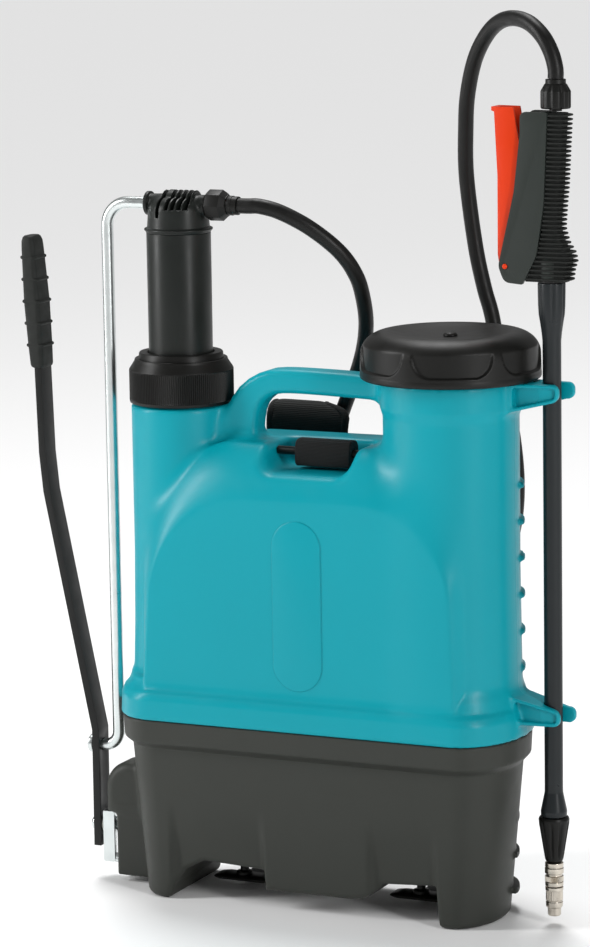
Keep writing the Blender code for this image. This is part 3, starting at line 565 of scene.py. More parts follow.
# ---------------------------------------------------------------- hose
HOSE_R = 7.0
HOSE_PUMP_ROUTE = [
    (-78.0, 0.0, OUTLET_Z), (-68.0, 0.0, OUTLET_Z), (-58.0, 1.0, 634.0), (-39.0, 5.0, 628.6),
    (-14.0, 14.0, 614.0), (8.0, 28.0, 592.0), (18.2, 41.0, 569.0), (19.5, 53.0, 546.0),
    (16.5, 65.0, 523.0), (8.5, 77.0, 499.0), (-3.0, 87.0, 474.0), (-14.0, 92.0, 452.0),
    (-24.0, 93.5, 428.0), (-31.0, 91.0, 404.0), (-34.0, 85.0, 380.0), (-31.0, 80.5, 350.0),
    (-20.0, 79.0, 320.0), (0.0, 78.5, 290.0), (28.0, 78.5, 270.0), (49.6, 78.5, 263.5),
    (59.6, 78.5, 263.5)]
HOSE_LANCE_ROUTE = [
    (HANDLE_HOSE_X, 0.0, 753.0), (HANDLE_HOSE_X, 0.0, 761.0), (221.5, 1.5, 775.0), (212.0, 5.0, 789.0),
    (196.0, 14.0, 799.5), (177.0, 26.0, 802.5), (158.0, 40.0, 798.0), (140.5, 53.0, 785.0),
    (124.0, 66.0, 762.0), (112.0, 78.0, 729.0), (106.5, 87.0, 696.0), (104.0, 93.0, 664.0),
    (106.0, 96.0, 631.0), (112.0, 97.0, 588.0), (119.5, 97.0, 555.0), (128.0, 96.0, 526.0),
    (140.0, 90.0, 466.0), (152.5, 82.0, 421.0), (157.0, 79.0, 376.0), (152.0, 78.5, 335.0),
    (137.0, 78.5, 300.0), (114.0, 78.5, 276.0), (88.0, 78.5, 265.0), (70.4, 78.5, 263.5),
    (60.4, 78.5, 263.5)]


def make_hose(name, route):
    """One half of the hose: a round cover swept along the smoothed route."""
    line = smooth_route(route, 4.0)
    obj = add_piece(name + "_cover", *swept(line, HOSE_R), "hose_rubber", None, (name,))
    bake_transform(obj)


make_camera()
make_hose("hose_pump_side", HOSE_PUMP_ROUTE)
make_hose("hose_lance_side", HOSE_LANCE_ROUTE)


# ---------------------------------------------------------------- fields
def round_max(a, b, radius):
    """Intersection of two fields with a rounded edge."""
    return (np.minimum(np.maximum(a + radius, b + radius), 0)
            + np.hypot(np.maximum(a + radius, 0), np.maximum(b + radius, 0)) - radius)


def blend_min(a, b, width):
    """Union of two fields with a fillet."""
    share = np.clip(0.5 + 0.5 * (b - a) / width, 0, 1)
    return b * (1 - share) + a * share - width * share * (1 - share)


def blend_max(a, b, width):
    return -blend_min(-a, -b, width)


def ease(share):
    """Smooth step of a share from 0 to 1."""
    return share * share * (3 - 2 * share)


def side_of(x, z, a, b):
    """Distance to the left of the line from a to b, in the XZ plane."""
    along = np.hypot(b[0] - a[0], b[1] - a[1])
    return ((z - a[1]) * (b[0] - a[0]) - (x - a[0]) * (b[1] - a[1])) / along


def polygon_field(u, v, corners):
    """Signed distance to a polygon, negative inside."""
    nearest = np.full(np.broadcast(u, v).shape, 1e9)
    inside = np.zeros(nearest.shape, dtype=bool)
    for (au, av), (bu, bv) in zip(corners, corners[1:] + corners[:1]):
        du, dv = bu - au, bv - av
        t = np.clip(((u - au) * du + (v - av) * dv) / (du * du + dv * dv), 0, 1)
        nearest = np.minimum(nearest, np.hypot(u - au - t * du, v - av - t * dv))
        crosses = (av > v) != (bv > v)
        inside ^= crosses & (u < au + (v - av) * du / (dv if dv else 1e-9))
    return np.where(inside, -nearest, nearest)


def oval_field(x, y, half_length, reach, half_depth):
    """Plan outline with flat front and back and elliptic ends."""
    past = np.maximum(np.abs(x) - (half_length - reach), 0) / reach
    return (np.hypot(past, y / half_depth) - 1) * half_depth


def band_field(x, y, right, left, depth):
    """Crescent behind the wearer's wall: right and left are (centre x, radius)."""
    past = np.maximum((x - right[0]) / right[1], 0) + np.maximum((left[0] - x) / left[1], 0)
    return (np.hypot(past, y / depth) - 1) * depth


def ribs_field(x, y, z, right, left, depth, first, count, pitch=33.0, half=2.5):
    level = first + pitch * np.clip(np.round((z - first) / pitch), 0, count - 1)
    rib = round_max(band_field(x, y, right, left, depth), np.abs(z - level) - half, 1.4)
    return np.maximum(rib, 12.0 - y)


def gradient(field, points, reach=0.05):
    slopes = []
    for k in range(3):
        step = np.zeros(3)
        step[k] = reach
        slopes.append((field(*(points + step).T) - field(*(points - step).T)) / (2 * reach))
    return np.stack(slopes, axis=1)


def surface_of(field, low, high, pitch):
    """Quads over the zero surface of a field on a grid, moved onto the surface itself."""
    axes = [np.arange(low[k], high[k] + pitch, pitch) for k in range(3)]
    value = np.empty([len(a) for a in axes], dtype=np.float32)
    plane = np.meshgrid(axes[1], axes[2], indexing="ij")
    for i, x in enumerate(axes[0]):
        value[i] = field(np.full(plane[0].shape, x), plane[0], plane[1])
    inside = value < 0
    count = sum(inside[a:inside.shape[0] - 1 + a, b:inside.shape[1] - 1 + b,
                       c:inside.shape[2] - 1 + c].astype(np.int8)
                for a in (0, 1) for b in (0, 1) for c in (0, 1))
    cells = np.argwhere((count > 0) & (count < 8))
    index = np.full(count.shape, -1)
    index[tuple(cells.T)] = np.arange(len(cells))
    total = np.zeros((len(cells), 3))
    number = np.zeros(len(cells))
    for axis in range(3):
        for a in (0, 1):
            for b in (0, 1):
                start = np.insert([a, b], axis, 0)
                stop = np.insert([a, b], axis, 1)
                first = value[tuple((cells + start).T)]
                second = value[tuple((cells + stop).T)]
                crosses = (first < 0) != (second < 0)
                share = np.where(crosses, first / np.where(crosses, first - second, 1), 0)
                corner = cells + start + share[:, None] * (stop - start)
                total += corner * crosses[:, None]
                number += crosses
    points = np.array(low) + total / number[:, None] * pitch
    faces = []
    for axis in range(3):
        lower = np.take(inside, range(inside.shape[axis] - 1), axis)
        upper = np.take(inside, range(1, inside.shape[axis]), axis)
        edges = np.argwhere(lower != upper)
        others = [k for k in range(3) if k != axis]
        edges = edges[(edges[:, others] > 0).all(axis=1)]
        corners = []
        for a, b in ((1, 1), (0, 1), (0, 0), (1, 0)):
            corners.append(index[tuple((edges - np.insert([a, b], axis, 0)).T)])
        quads = np.stack(corners, axis=1)
        flip = lower[tuple(edges.T)] ^ (axis == 1)
        quads[~flip] = quads[~flip][:, ::-1]
        faces.extend(quads.tolist())
    for _ in range(4):
        distance = field(*points.T)
        slope = gradient(field, points)
        step = (distance / np.maximum((slope ** 2).sum(axis=1), 0.05))[:, None] * slope
        length = np.linalg.norm(step, axis=1, keepdims=True)
        points = points - step * np.minimum(1, 0.6 * pitch / np.maximum(length, 1e-9))
    return points, faces


def field_piece(name, field, low, high, pitches, slot, body, nodes=(), sharp=60.0):
    points, faces = surface_of(field, low, high, pitches[0])
    add_piece(name, points, faces, slot, body, nodes, sharp)


# ---------------------------------------------------------------- tank
CLIPS = ((487.8, 461.8, 487.8, 473.0), (209.0, 183.0, 197.0, 183.0))
CLIP_ROOT_X = 186.0
CLIP_TIP_X = 232.0
CLIP_LEVELS = (474.0, 197.0)
CLIP_SEAM_X = 187.0
# X, half the thickness and Z along the handle.
HANDLE_LINE = smooth_route([(-84, 23, 392), (-80, 19.5, 420), (-75, 16.5, 444), (-66, 13.5, 463),
                            (-50, 11.6, 475), (-30, 11, 478.3), (20, 11, 477.7),
                            (48, 10.8, 476.5), (84, 10.8, 475.3)], 9.0)
HANDLE_DEPTH = 13.5
SKIRT_LEVELS = [170, 189, 194.5, 198.5]
SKIRT_INSETS = [0, 0.8, 2.6, 6.5]
PUMP_MOUTH_R = 37.3
FILLER_MOUTH_R = 54.0
PANEL_X = 1.4
PANEL_R = 23.9
PANEL_TOP_Z = 337.7
PANEL_FOOT_Z = 230.9


def arch_field(x, z, left_foot, left_top, right_top, right_foot, radii):
    """Arch in the XZ plane; feet are X at the floor line, tops are (x, z) corners."""
    left = side_of(x, z, (left_foot, 188), left_top)
    top = side_of(x, z, left_top, right_top)
    right = side_of(x, z, right_top, (right_foot, 188))
    return np.where(x < 0, round_max(left, top, radii[0]), round_max(right, top, radii[1]))


def slab_field(x, y, z):
    """The slab between the columns: a flat arch in front, rounded back to a larger one."""
    flat = arch_field(x, z, -153, (-140, 377), (145, 379), 152, (93, 88))
    full = arch_field(x, z, -163, (-162, 424), (158, 425), 160, (93, 60))
    rear = arch_field(x, z, -150, (-149, 411), (146, 412), 150, (86, 60))
    out = np.maximum(flat / np.maximum(flat - full, 4.0), 0)
    turn = np.maximum(-26 - y, 0) / 36
    front = 36 * ((out ** 1.5 + turn ** 1.5) ** (1 / 1.5) - 1)
    back = np.maximum(rear / np.maximum(rear - full, 4.0), 0)
    back = 13.5 * (np.hypot(back, np.maximum(y - 48, 0) / 13.5) - 1)
    return np.maximum(np.maximum(front, back), 186 - z)


def column_field(x, y, z, centre, levels, radii, top, edge):
    across = np.hypot(x - centre, y) - np.interp(z, levels, radii)
    return np.maximum(round_max(across, z - top, edge), 184 - z)


def handle_field(x, y, z):
    """Carrying handle: a rounded oblong section along a bent line."""
    nearest = np.full(x.shape, 1e9)
    half = np.full(x.shape, 11.0)
    for (ax, ah, az), (bx, bh, bz) in zip(HANDLE_LINE, HANDLE_LINE[1:]):
        dx, dz = bx - ax, bz - az
        t = np.clip(((x - ax) * dx + (z - az) * dz) / (dx * dx + dz * dz), 0, 1)
        distance = np.hypot(x - ax - t * dx, z - az - t * dz)
        closer = distance < nearest
        nearest = np.where(closer, distance, nearest)
        half = np.where(closer, ah + t * (bh - ah), half)
    return round_max(nearest - half, np.abs(y) - HANDLE_DEPTH, 6.5)


def clip_field(x, y, z, top_root, foot_root, top_tip, foot_tip):
    """A fork with two arms round the lance, each with a sunk pocket in its outer face."""
    width = np.interp(x, [170, 196, 222, 231, 239], [21, 18.5, 15.2, 13.8, 14.2])
    top = np.interp(x, [CLIP_ROOT_X, CLIP_TIP_X], [top_root, top_tip])
    foot = np.interp(x, [CLIP_ROOT_X, CLIP_TIP_X], [foot_root, foot_tip])
    tip = x - np.where(y < 0, CLIP_TIP_X, CLIP_TIP_X + 6.5)
    height = np.maximum(z - top, foot - z)
    outline = round_max(height, tip, 6.0)
    bay = np.where(x < LANCE_X, np.hypot(x - LANCE_X, y), np.abs(y)) - 8.7
    clip = round_max(outline, np.abs(y) - width, 1.6)
    clip = np.maximum(clip, -bay)
    clip = np.maximum(clip, 165 - x)
    depth = np.interp(x, [190, 214], [8.0, 3.0])
    pocket = np.maximum(round_max(outline + 3.4, 191 - x, 3.0), width - depth - np.abs(y))
    return blend_max(clip, -pocket, 1.5)


def tank_field(x, y, z, clip_reach=CLIP_SEAM_X + 4):
    """The tank, with its lance clips cut off at the given X."""
    inset = np.interp(z, SKIRT_LEVELS, SKIRT_INSETS)
    skirt = oval_field(x, y, 196 - inset, np.interp(z, [170, 189, 198.5], [48, 47.2, 52.5]),
                       70 - inset)
    skirt = round_max(round_max(skirt, z - 200.5, 2.2), 170.35 - z, 1.2)
    body = round_max(oval_field(x, y, 187, 50, 61), z - 206, 2.0)
    tank = blend_min(skirt, np.maximum(body, 180 - z), 3.0)
    tank = blend_min(tank, slab_field(x, y, z), 2.5)
    pump = column_field(x, y, z, PUMP_X, [186, 250, 320, 452], [49.5, 47.2, 46, 46], 452.3, 2.0)
    neck = column_field(x, y, z, PUMP_X, [0, 500], [41, 41], 478, 1.0)
    tank = blend_min(tank, np.minimum(pump, neck), 7.0)
    filler = column_field(x, y, z, FILLER_X, [184, 240, 320, 455, 463, 486.5, 488, 514],
                          [62.5, 61.6, 60.5, 60.5, 62.9, 62.9, 58, 58], 514, 1.5)
    tank = blend_min(tank, filler, 15.0)
    tank = blend_min(tank, handle_field(x, y, z), 13.0)
    room = round_max(round_max(np.abs(x - 4) - 42, 401 - z, 13.0), y - 18, 7.0)
    room = np.maximum(room, z - 458)
    tank = blend_max(tank, -room, 8.0)
    slot = np.maximum(round_max(np.abs(x - 9.5) - 29.5, np.abs(z - 409.3) - 3.8, 2.0), 10 - y)
    tank = np.maximum(tank, -slot)
    for clip in CLIPS:
        tank = blend_min(tank, np.maximum(clip_field(x, y, z, *clip), x - clip_reach), 4.5)
    ribs = ribs_field(x, y, z, (FILLER_X, 64.5), (PUMP_X, 50.5), 65.5, 228, 6)
    tank = blend_min(tank, ribs, 2.5)
    filler_hole = np.maximum(np.hypot(x - FILLER_X, y) - FILLER_MOUTH_R, 428 - z)
    pump_hole = np.maximum(np.hypot(x - PUMP_X, y) - PUMP_MOUTH_R, 440 - z)
    return np.maximum(np.maximum(tank, -filler_hole), -pump_hole)


def clip_end_field(x, y, z):
    """The tank's surface round a lance clip, for a finer grid than the rest can have."""
    whole = tank_field(x, y, z, 260.0)
    off_middle = np.abs(z - np.where(z > 330, CLIP_LEVELS[0], CLIP_LEVELS[1]))
    window = np.maximum(np.abs(y) - 24, off_middle - 19)
    return np.maximum(whole, np.maximum(CLIP_SEAM_X - x, window))


def make_tank():
    field_piece("tank_shell", tank_field, (-201, -74, 168), (198, 74, 517), (2.45, 3.2),
                "tank_plastic", "root", ("tank",))
    for name, level in zip(("upper", "lower"), CLIP_LEVELS):
        field_piece("tank_clip_" + name, clip_end_field, (184, -27, level - 22),
                    (243, 27, level + 22), (1.15, 1.8), "tank_plastic", "root")
    plate = []
    for inset, y in ((0.0, -61.0), (0.0, -62.35), (0.5, -62.8), (1.2, -62.95)):
        ring = []
        for k in range(48):
            t = 2 * math.pi * (k + 0.5) / 48
            r = PANEL_R - inset
            middle = PANEL_TOP_Z if math.sin(t) > 0 else PANEL_FOOT_Z
            ring.append((PANEL_X + r * math.cos(t), y, middle + r * math.sin(t)))
        plate.append(ring)
    add_piece("tank_panel", *loft(plate), "tank_plastic", "root")


# ---------------------------------------------------------------- base
TUNNEL = [(-137, -8), (-132, 13), (-121, 28), (-103, 37.5), (-41, 34.5), (-38.5, 17.6),
          (46, 17.6), (56, 18.8), (64, 22.2), (70, 27.2), (76, 33.5), (128, 36.5), (131.5, 3),
          (131.8, -8)]
SUNK_BAYS = ((-135, -36), (62, 133))
BRACKET_SLOTS_Z = (17.7, 62.4)


def window(value, low, high, edge):
    rise = np.clip((value - low) / edge, 0, 1)
    fall = np.clip((high - value) / edge, 0, 1)
    return ease(rise) * ease(fall)


def base_field(x, y, z):
    levels = [0, 142, 149, 170]
    body = oval_field(x, y, np.interp(z, levels, [173.5, 187, 193.3, 194.5]),
                      np.interp(z, levels, [34, 41, 44.8, 46]),
                      np.interp(z, levels, [54, 58.5, 67.3, 68.5]))
    sunk = sum(window(x, low, high, 9) for low, high in SUNK_BAYS)
    body = body + 5.5 * sunk * ease(np.clip((100 - z) / 62, 0, 1))
    body = round_max(round_max(body, -z, 5.0), z - 169.8, 1.2)
    boss = round_max(round_max(-219 - x, z - 114, 25.0), np.abs(y) - 18.5, 9.0)
    boss = round_max(np.maximum(boss, x + 150), 66 - z, 2.0)
    pod = round_max(round_max(-208 - x, np.abs(y) - 17, 3.0), 6 - z, 2.0)
    pod = np.maximum(np.maximum(pod, z - 72), x + 160)
    body = blend_min(blend_min(body, boss, 10.0), pod, 5.0)
    ribs = ribs_field(x, y, z, (142, 40), (-142, 40), 61, 22, 4)
    body = blend_min(body, ribs, 2.5)
    body = blend_max(body, -polygon_field(x, z, TUNNEL), 5.0)
    for level in BRACKET_SLOTS_Z:
        slot = np.maximum(np.abs(z - level) - 2.4, np.maximum(np.abs(y) - 10.7, x + 184))
        body = np.maximum(body, -slot)
    return body


def make_base():
    field_piece("base_shell", base_field, (-222, -72, -3), (198, 72, 173), (1.9, 3.2),
                "base_plastic", "root", ("base",))


# ---------------------------------------------------------------- filler lid
LID_PANEL_TURN = math.radians(-66.5)
LID_PANELS = 6


def lid_ripple(radius, z, angle):
    """Six sunk finger panels with round lower corners, open towards the dome."""
    if radius < 70 or z < 494:
        return radius
    turn = (angle - LID_PANEL_TURN + math.pi / LID_PANELS) % (2 * math.pi / LID_PANELS)
    along = (turn - math.pi / LID_PANELS) * LID_R
    corner = 13.0
    half_width = 33.0 + 0.28 * (z - 497.0)
    across = max(abs(along) - (half_width - corner), 0)
    down = max(497.0 + corner - z, 0)
    edge = corner - math.hypot(across, down)
    return min(radius, LID_R - 0.2 - 2.6 * ease(min(max(edge / 1.6, 0), 1)))


def make_lid():
    outer = [(488.7, 59), (488.6, 78.6), (489.4, 79.8), (490.6, LID_R)]
    outer += [(492 + 0.6 * k, LID_R - 0.02 * k) for k in range(31)]
    for k in range(1, 31):
        t = k / 30 * math.pi / 2
        outer.append((510 + 19.9 * math.sin(t), 57.0 + (LID_R - 57.6) * math.cos(t)))
    dish = [(529.8, 55.0), (529.4, 52.5), (528.7, 49.0), (527.8, 44), (526.9, 37), (526.0, 29),
            (525.4, 20), (525.1, 12), (525.0, 6.6), (525.0, 4)]
    inner = [(522.5, 4), (522.5, 57), (506, 59)]
    turned_piece("lid_shell", "filler_lid", outer + dish + inner, (FILLER_X, 0), "black_plastic",
                 "lid", 50, steps=432, hollow=True, ripple=lid_ripple,
                 soft=0)
    vent = [(521.0, 0), (521.0, 3.2), (525.2, 3.2), (525.2, 6.4), (526.6, 6.2), (528.0, 4.9),
            (528.6, 2.4), (528.7, 0)]
    turned_piece("lid_vent", "lid_vent_valve", vent, (FILLER_X, 0), "black_plastic", "lid",
                 steps=48)
    dress("seal_rubber", "lid_gasket")
    dress("natural_plastic", "filler_strainer")


# ---------------------------------------------------------------- pump
COLLAR_RIBS = 150


def collar_ripple(radius, z, angle):
    if radius < 47 or not 457 < z < 484:
        return radius
    wave = abs((angle * COLLAR_RIBS / (2 * math.pi)) % 1 - 0.5) * 2
    return radius - 0.75 * min(max(1.6 * wave - 0.3, 0), 1)


def make_collar():
    profile = [(453.7, 41.8), (453.7, 46.0), (454.6, 47.2), (456.6, 47.6), (457.1, 47.6),
               (458.6, 47.6), (482.6, 47.6), (483.9, 47.6), (484.4, 47.5), (485.4, 47.0),
               (491.6, 43.0), (492.6, 42.6), (494.0, 42.2), (494.4, 41.6), (493.6, 39.8),
               (493.8, 38.8), (499.0, 38.3), (500.0, 37.6), (500.0, 31.2), (499.2, 30.5),
               (489.0, 30.5), (489.0, 41.8)]
    turned_piece("collar_nut", "pump_collar", profile, (PUMP_X, 0), "black_plastic", "collar", 40,
                 steps=900, hollow=True, ripple=collar_ripple, soft=0)
    dress("natural_plastic", "pump_barrel", "pump_guide_ring", "piston", "pivot_bush")
    dress("seal_rubber", "foot_valve", "piston_cup", "lance_seal")


HEAD_SLOTS = [(-147.6, 623.5), (-138.5, 630.5), (-133.1, 630.5), (-127.7, 630.5),
              (-122.3, 630.5)]


def head_field(x, y, z):
    across = np.hypot(x - PUMP_X, y)
    dome = round_max(across - np.interp(z, [612, 626, 642], [28.6, 27.6, 26.4]), z - 641, 13.0)
    rim = round_max(across - 29.8, np.abs(z - 611.0) - 2.1, 0.8)
    bead = np.hypot(across - 29.9, z - 611.6) - 1.25
    head = blend_min(np.maximum(dome, 609.2 - z), np.minimum(rim, bead), 1.2)
    off_tube = np.hypot(y, z - OUTLET_Z)
    tube = np.maximum(off_tube - 8.9, np.maximum(-168 - x, x + 109.8))
    flange = round_max(off_tube - 11.0, np.abs(x + 167.9) - 1.8, 0.7)
    head = blend_min(blend_min(head, tube, 4.0), flange, 1.0)
    hump = round_max(np.hypot(y + 1, z - 634.5) - 12.6, np.abs(x + 134.9) - 15.4, 1.0)
    head = blend_min(head, hump, 1.2)
    for centre, foot in HEAD_SLOTS:
        slot = np.maximum(np.abs(x - centre) - 1.85, np.maximum(foot - z, 7.4 - off_tube))
        head = np.maximum(head, -np.maximum(slot, y - 11))
    return np.maximum(head, 6.0 - np.where(x > -135, off_tube, 99))


def nut_ripple(count, depth, low, high):
    def ripple(radius, station, angle):
        if not low < station < high:
            return radius
        return radius - depth * max(0.0, math.cos(count * angle)) ** 2
    return ripple


def make_pump():
    vessel = [(300, 6), (300, 28.7), (480, 29.1), (608.6, 29.3), (608.6, 26.5), (306, 26), (306, 6)]
    turned_piece("vessel_tube", "pressure_vessel", vessel, (PUMP_X, 0), "pump_plastic", "pump",
                 steps=120, hollow=True)
    field_piece("head_moulding", head_field, (-173, -33, 607), (-107, 33, 650), (0.62, 1.3),
                "pump_plastic", "pump", ("pump_head",), 45.0)
    nut = [(-109.6, 6), (-109.6, 11.4), (-106.6, 14.2), (-93.5, 14.2), (-88.6, 9.9), (-88, 9.9),
           (-88, 6)]
    obj = turned_piece("hose_nut_pump", "pump_hose_nut", nut, (0, OUTLET_Z), "black_plastic",
                       "pump", axis="X", steps=8, hollow=True, soft=0)
    bevel(obj, 0.7)
    finish_piece(obj, "black_plastic", "pump")
    tail = [(-109.5, 3.2), (-109.5, 5.6), (-87.6, 5.6), (-87.6, 8.9), (-83.4, 8.9), (-83.4, 8.4),
            (-78.2, 8.4), (-78.2, 3.2)]
    turned_piece("hose_tail_pump", "pump_hose_tail", tail, (0, OUTLET_Z), "black_plastic", "pump",
                 axis="X", steps=48, hollow=True)


# ---------------------------------------------------------------- lever and rod
def grip_ring(x, half_x, half_y, z, corner=4.2, steps=6):
    ring = []
    for sx, sy, start in ((1, 1, 0), (-1, 1, 90), (-1, -1, 180), (1, -1, 270)):
        for k in range(steps + 1):
            t = math.radians(start + 90 * k / steps)
            ring.append((x + sx * (half_x - corner) + corner * math.cos(t),
                         sy * (half_y - corner) + corner * math.sin(t), z))
    return ring


def make_lever():
    refined("lever_bar", "lever_paint", "lever", 1.1, 3)
    shape = [(479.0, 5.6, 10.2), (480.0, 6.4, 11.6), (482.0, 6.9, 12.2), (500, 7.4, 12.8),
             (540, 8.1, 13.1), (572, 7.2, 12.6), (590, 6.9, 11.8), (596, 6.6, 11.4),
             (599.6, 5.6, 10.4), (601.0, 4.4, 9.0)]
    levels, widths, depths = zip(*shape)
    ridges = [500.0 + 20.3 * k for k in range(5)]
    round_ridges = {ridge + d for ridge in ridges for d in (-1.7, -1.1, -0.5, 0.0, 0.5, 1.1, 1.7)}
    rings = []
    for z in sorted(round_ridges.union(levels)):
        half_x = float(np.interp(z, levels, widths))
        half_y = float(np.interp(z, levels, depths))
        off = min(abs(z - ridge) for ridge in ridges)
        swell = 1.5 * math.sqrt(max(0.0, 1 - (off / 1.7) ** 2))
        middle = -282.6 - 7.4 * (z - 479.0) / 122.0
        corner = min(4.2, half_x - 0.3)
        rings.append(grip_ring(middle, half_x + swell, half_y + 0.3 * swell, z, corner))
    add_piece("lever_grip_cover", *loft(rings), "grip_rubber", "lever", ("lever_grip",), 40.0)


def make_pivot():
    refined("pivot_bracket", "zinc_steel", "root", 0.5, 2)
    cheek = [[(x, y, z) for x, z in soften([(-224.8, 15.9), (-213.4, 15.9), (-213.4, 64.1),
                                            (-224.8, 64.1)], 1.6)] for y in (-10.6, -8.6)]
    add_piece("pivot_cheek", *loft(cheek), "zinc_steel", "root")
    head = [(-196, 0), (-196, 4.2), (-236.2, 4.2), (-236.2, 6.9), (-237.6, 6.9), (-239.4, 5.8),
            (-240.9, 3.6), (-241.4, 0)]
    turned_piece("pivot_rivet", "pivot_bolt", head, (0, PIVOT_Z), "zinc_steel", "root", axis="X",
                 steps=48)
    refined("pivot_nut", "zinc_steel", "root", 0.4, 2)


def make_rod():
    foot = ROD_PIN_Z
    radius = 5.6
    line = [(-170.1, OUTLET_Z), (-176, OUTLET_Z), (-183, OUTLET_Z)]
    for k in range(13):
        t = math.radians(90 + 90 * k / 12)
        line.append((-189.5 + 22 * math.cos(t), OUTLET_Z - 22 + 22 * math.sin(t)))
    line += [(-211.5, 612 - (612 - 140) * k / 24) for k in range(1, 24)]
    for k in range(11):
        t = math.radians(-90 * k / 10)
        line.append((-225.5 + 14 * math.cos(t), foot + 14 + 14 * math.sin(t)))
    line += [(-234, foot), (-241.2, foot), (-242, foot)]
    points, faces = swept([Vector((x, 0, z)) for x, z in line], radius, 32)
    add_piece("rod_round", points, faces, "zinc_steel", "rod", ("link_rod",), 50.0)
    clip = [(-240.6, 5.95), (-240.6, 8.4), (-236.4, 8.4), (-236.4, 5.95)]
    turned_piece("rod_retainer", "rod_clip", clip, (0, foot), "zinc_steel", "rod", axis="X",
                 steps=48, hollow=True)


# ---------------------------------------------------------------- lance
def lance_ripple(radius, z, angle):
    if not 541 < z < 577:
        return radius
    fade = min((z - 541) / 12, 1, (577 - z) / 2.5)
    return radius - 1.3 * max(fade, 0) * max(0.0, math.cos(6 * angle + 0.6)) ** 3


def knurl(low, high, count, depth):
    def ripple(radius, z, angle):
        if not low < z < high:
            return radius
        return radius - depth * (0.5 + 0.5 * math.cos(count * angle))
    return ripple


def make_lance():
    axis = (LANCE_X, 0)
    stem = [(99.4, 4.5), (99.4, 11.6), (104, 11.8), (113, 9.9), (121, 8.3), (126, 8.2), (525, 8.2),
            (532, 8.9), (541, 10.2), (548, 11.4), (556, 11.9), (566, 12.1), (574.4, 12.2),
            (576, 12.0), (576, 8), (540, 4.5)]
    turned_piece("lance_stem", "lance_tube", stem, axis, "lance_plastic", "lance", 50, steps=96,
                 hollow=True, ripple=lance_ripple)
    nut = [(58, 5), (58, 7.4), (60, 8.2), (64, 8.9), (72, 10.2), (80, 11.5), (88, 12.8),
           (92, 13.5), (96.4, 13.8), (98.4, 13.0), (98.8, 12.0), (98.8, 5)]
    turned_piece("lance_nut_cone", "lance_nut", nut, axis, "black_plastic", "lance", 50,
                 steps=120, hollow=True, ripple=nut_ripple(9, 1.5, 62, 93))
    body = [(35, 3), (35, 7.4), (35.6, 8.2), (38.8, 8.2), (39.2, 7.7), (39.6, 8.3), (44.4, 8.3),
            (44.8, 7.2), (46.4, 7.2), (47, 8.5), (51.6, 8.5), (52.2, 7.8), (53, 8.3), (56.4, 8.3),
            (57.4, 6.6), (57.6, 3)]
    turned_piece("nozzle_holder", "nozzle_body", body, axis, "nickel_brass", "lance", steps=160,
                 hollow=True, soft=0.2, ripple=knurl(39.7, 44.3, 40, 0.7))
    cap = [(8, 1), (8, 5.4), (9, 5.9), (15, 6.1), (15.6, 7.0), (17, 7.6), (20.6, 7.7), (21, 7.2),
           (21.8, 7.2), (22.2, 7.7), (31, 7.7), (31.6, 8.1), (34.2, 8.1), (34.4, 3.4), (14, 3),
           (13, 1)]
    turned_piece("nozzle_tip", "nozzle_cap", cap, axis, "nickel_brass", "nozzle", steps=160,
                 hollow=True, soft=0.2, ripple=knurl(22.4, 30.9, 32, 0.35))


FIN_EDGE = [(577, 241.0), (588, 242.5), (596, 245.0), (603, 243.0), (612, 237.5), (624, 234.0),
            (645, 235.5), (660, 237.0), (700, 239.0), (724, 240.4)]
PLATE_EDGE = [(577, 200.8), (585, 205.0), (600, 212.7), (620, 216.6), (645, 219.7), (680, 221.6),
              (724, 223.2)]
FIN_FIRST_Z = 579.4
FIN_PITCH = 3.95
FINS = 37


def fin_plan(left, right, half, corner, steps=7):
    """Plan of one fin: square towards the side plates, round towards the palm."""
    plan = [(left, -half)]
    for start in (-90, 0):
        centre_y = -half + corner if start < 0 else half - corner
        plan += [(right - corner + corner * math.cos(math.radians(start + 90 * k / steps)),
                  centre_y + corner * math.sin(math.radians(start + 90 * k / steps)))
                 for k in range(steps + 1)]
    return plan + [(left, half)]


def make_handle():
    refined("handle_body", "handle_plastic", "lance", 1.4, 3)
    refined("trigger", "trigger_plastic", "trigger", 0.9, 2)
    pin = [(-13.4, 0), (-13.4, 2.3), (13.4, 2.3), (13.4, 0)]
    turned_piece("trigger_pin_dot", "trigger_pin", pin, (182.8, 590.0), "trigger_plastic",
                 "lance", axis="Y", steps=32)
    parts = []
    core = []
    for z in np.linspace(577, 723.5, 40):
        left = float(np.interp(z, *zip(*PLATE_EDGE)))
        right = float(np.interp(z, *zip(*FIN_EDGE))) - 4.2
        core.append([(x, y, z) for x, y in fin_plan(left, right, 9.6, 7.0)])
    parts.append(loft(core))
    for k in range(FINS):
        z = FIN_FIRST_Z + FIN_PITCH * k
        left = float(np.interp(z, *zip(*PLATE_EDGE)))
        right = float(np.interp(z, *zip(*FIN_EDGE)))
        rings = []
        for inset, dz in ((1.0, -0.95), (0.3, -0.75), (0.0, -0.35), (0.0, 0.35), (0.3, 0.75),
                          (1.0, 0.95)):
            rings.append([(x, y, z + dz) for x, y in
                          fin_plan(left + inset * 0.3, right - inset, 12.5 - inset, 9.0)])
        parts.append(loft(rings))
    add_piece("grip_fins", *merge(*parts), "grip_rubber", "lance", ("grip_cover",), 45.0)
    nut = [(727, 6), (727, 12.6), (728.4, 13.2), (742, 13.2), (748, 9.8), (748.6, 8.9),
           (752.4, 8.9), (752.4, 7.1), (745, 6)]
    turned_piece("hose_nut_lance", "handle_hose_nut", nut, (HANDLE_HOSE_X, 0), "black_plastic", "lance", 40,
                 steps=96, hollow=True, ripple=nut_ripple(8, 1.3, 727.5, 743))
    dress("black_plastic", "handle_hose_tail")
    dress("zinc_steel", "valve_stem")


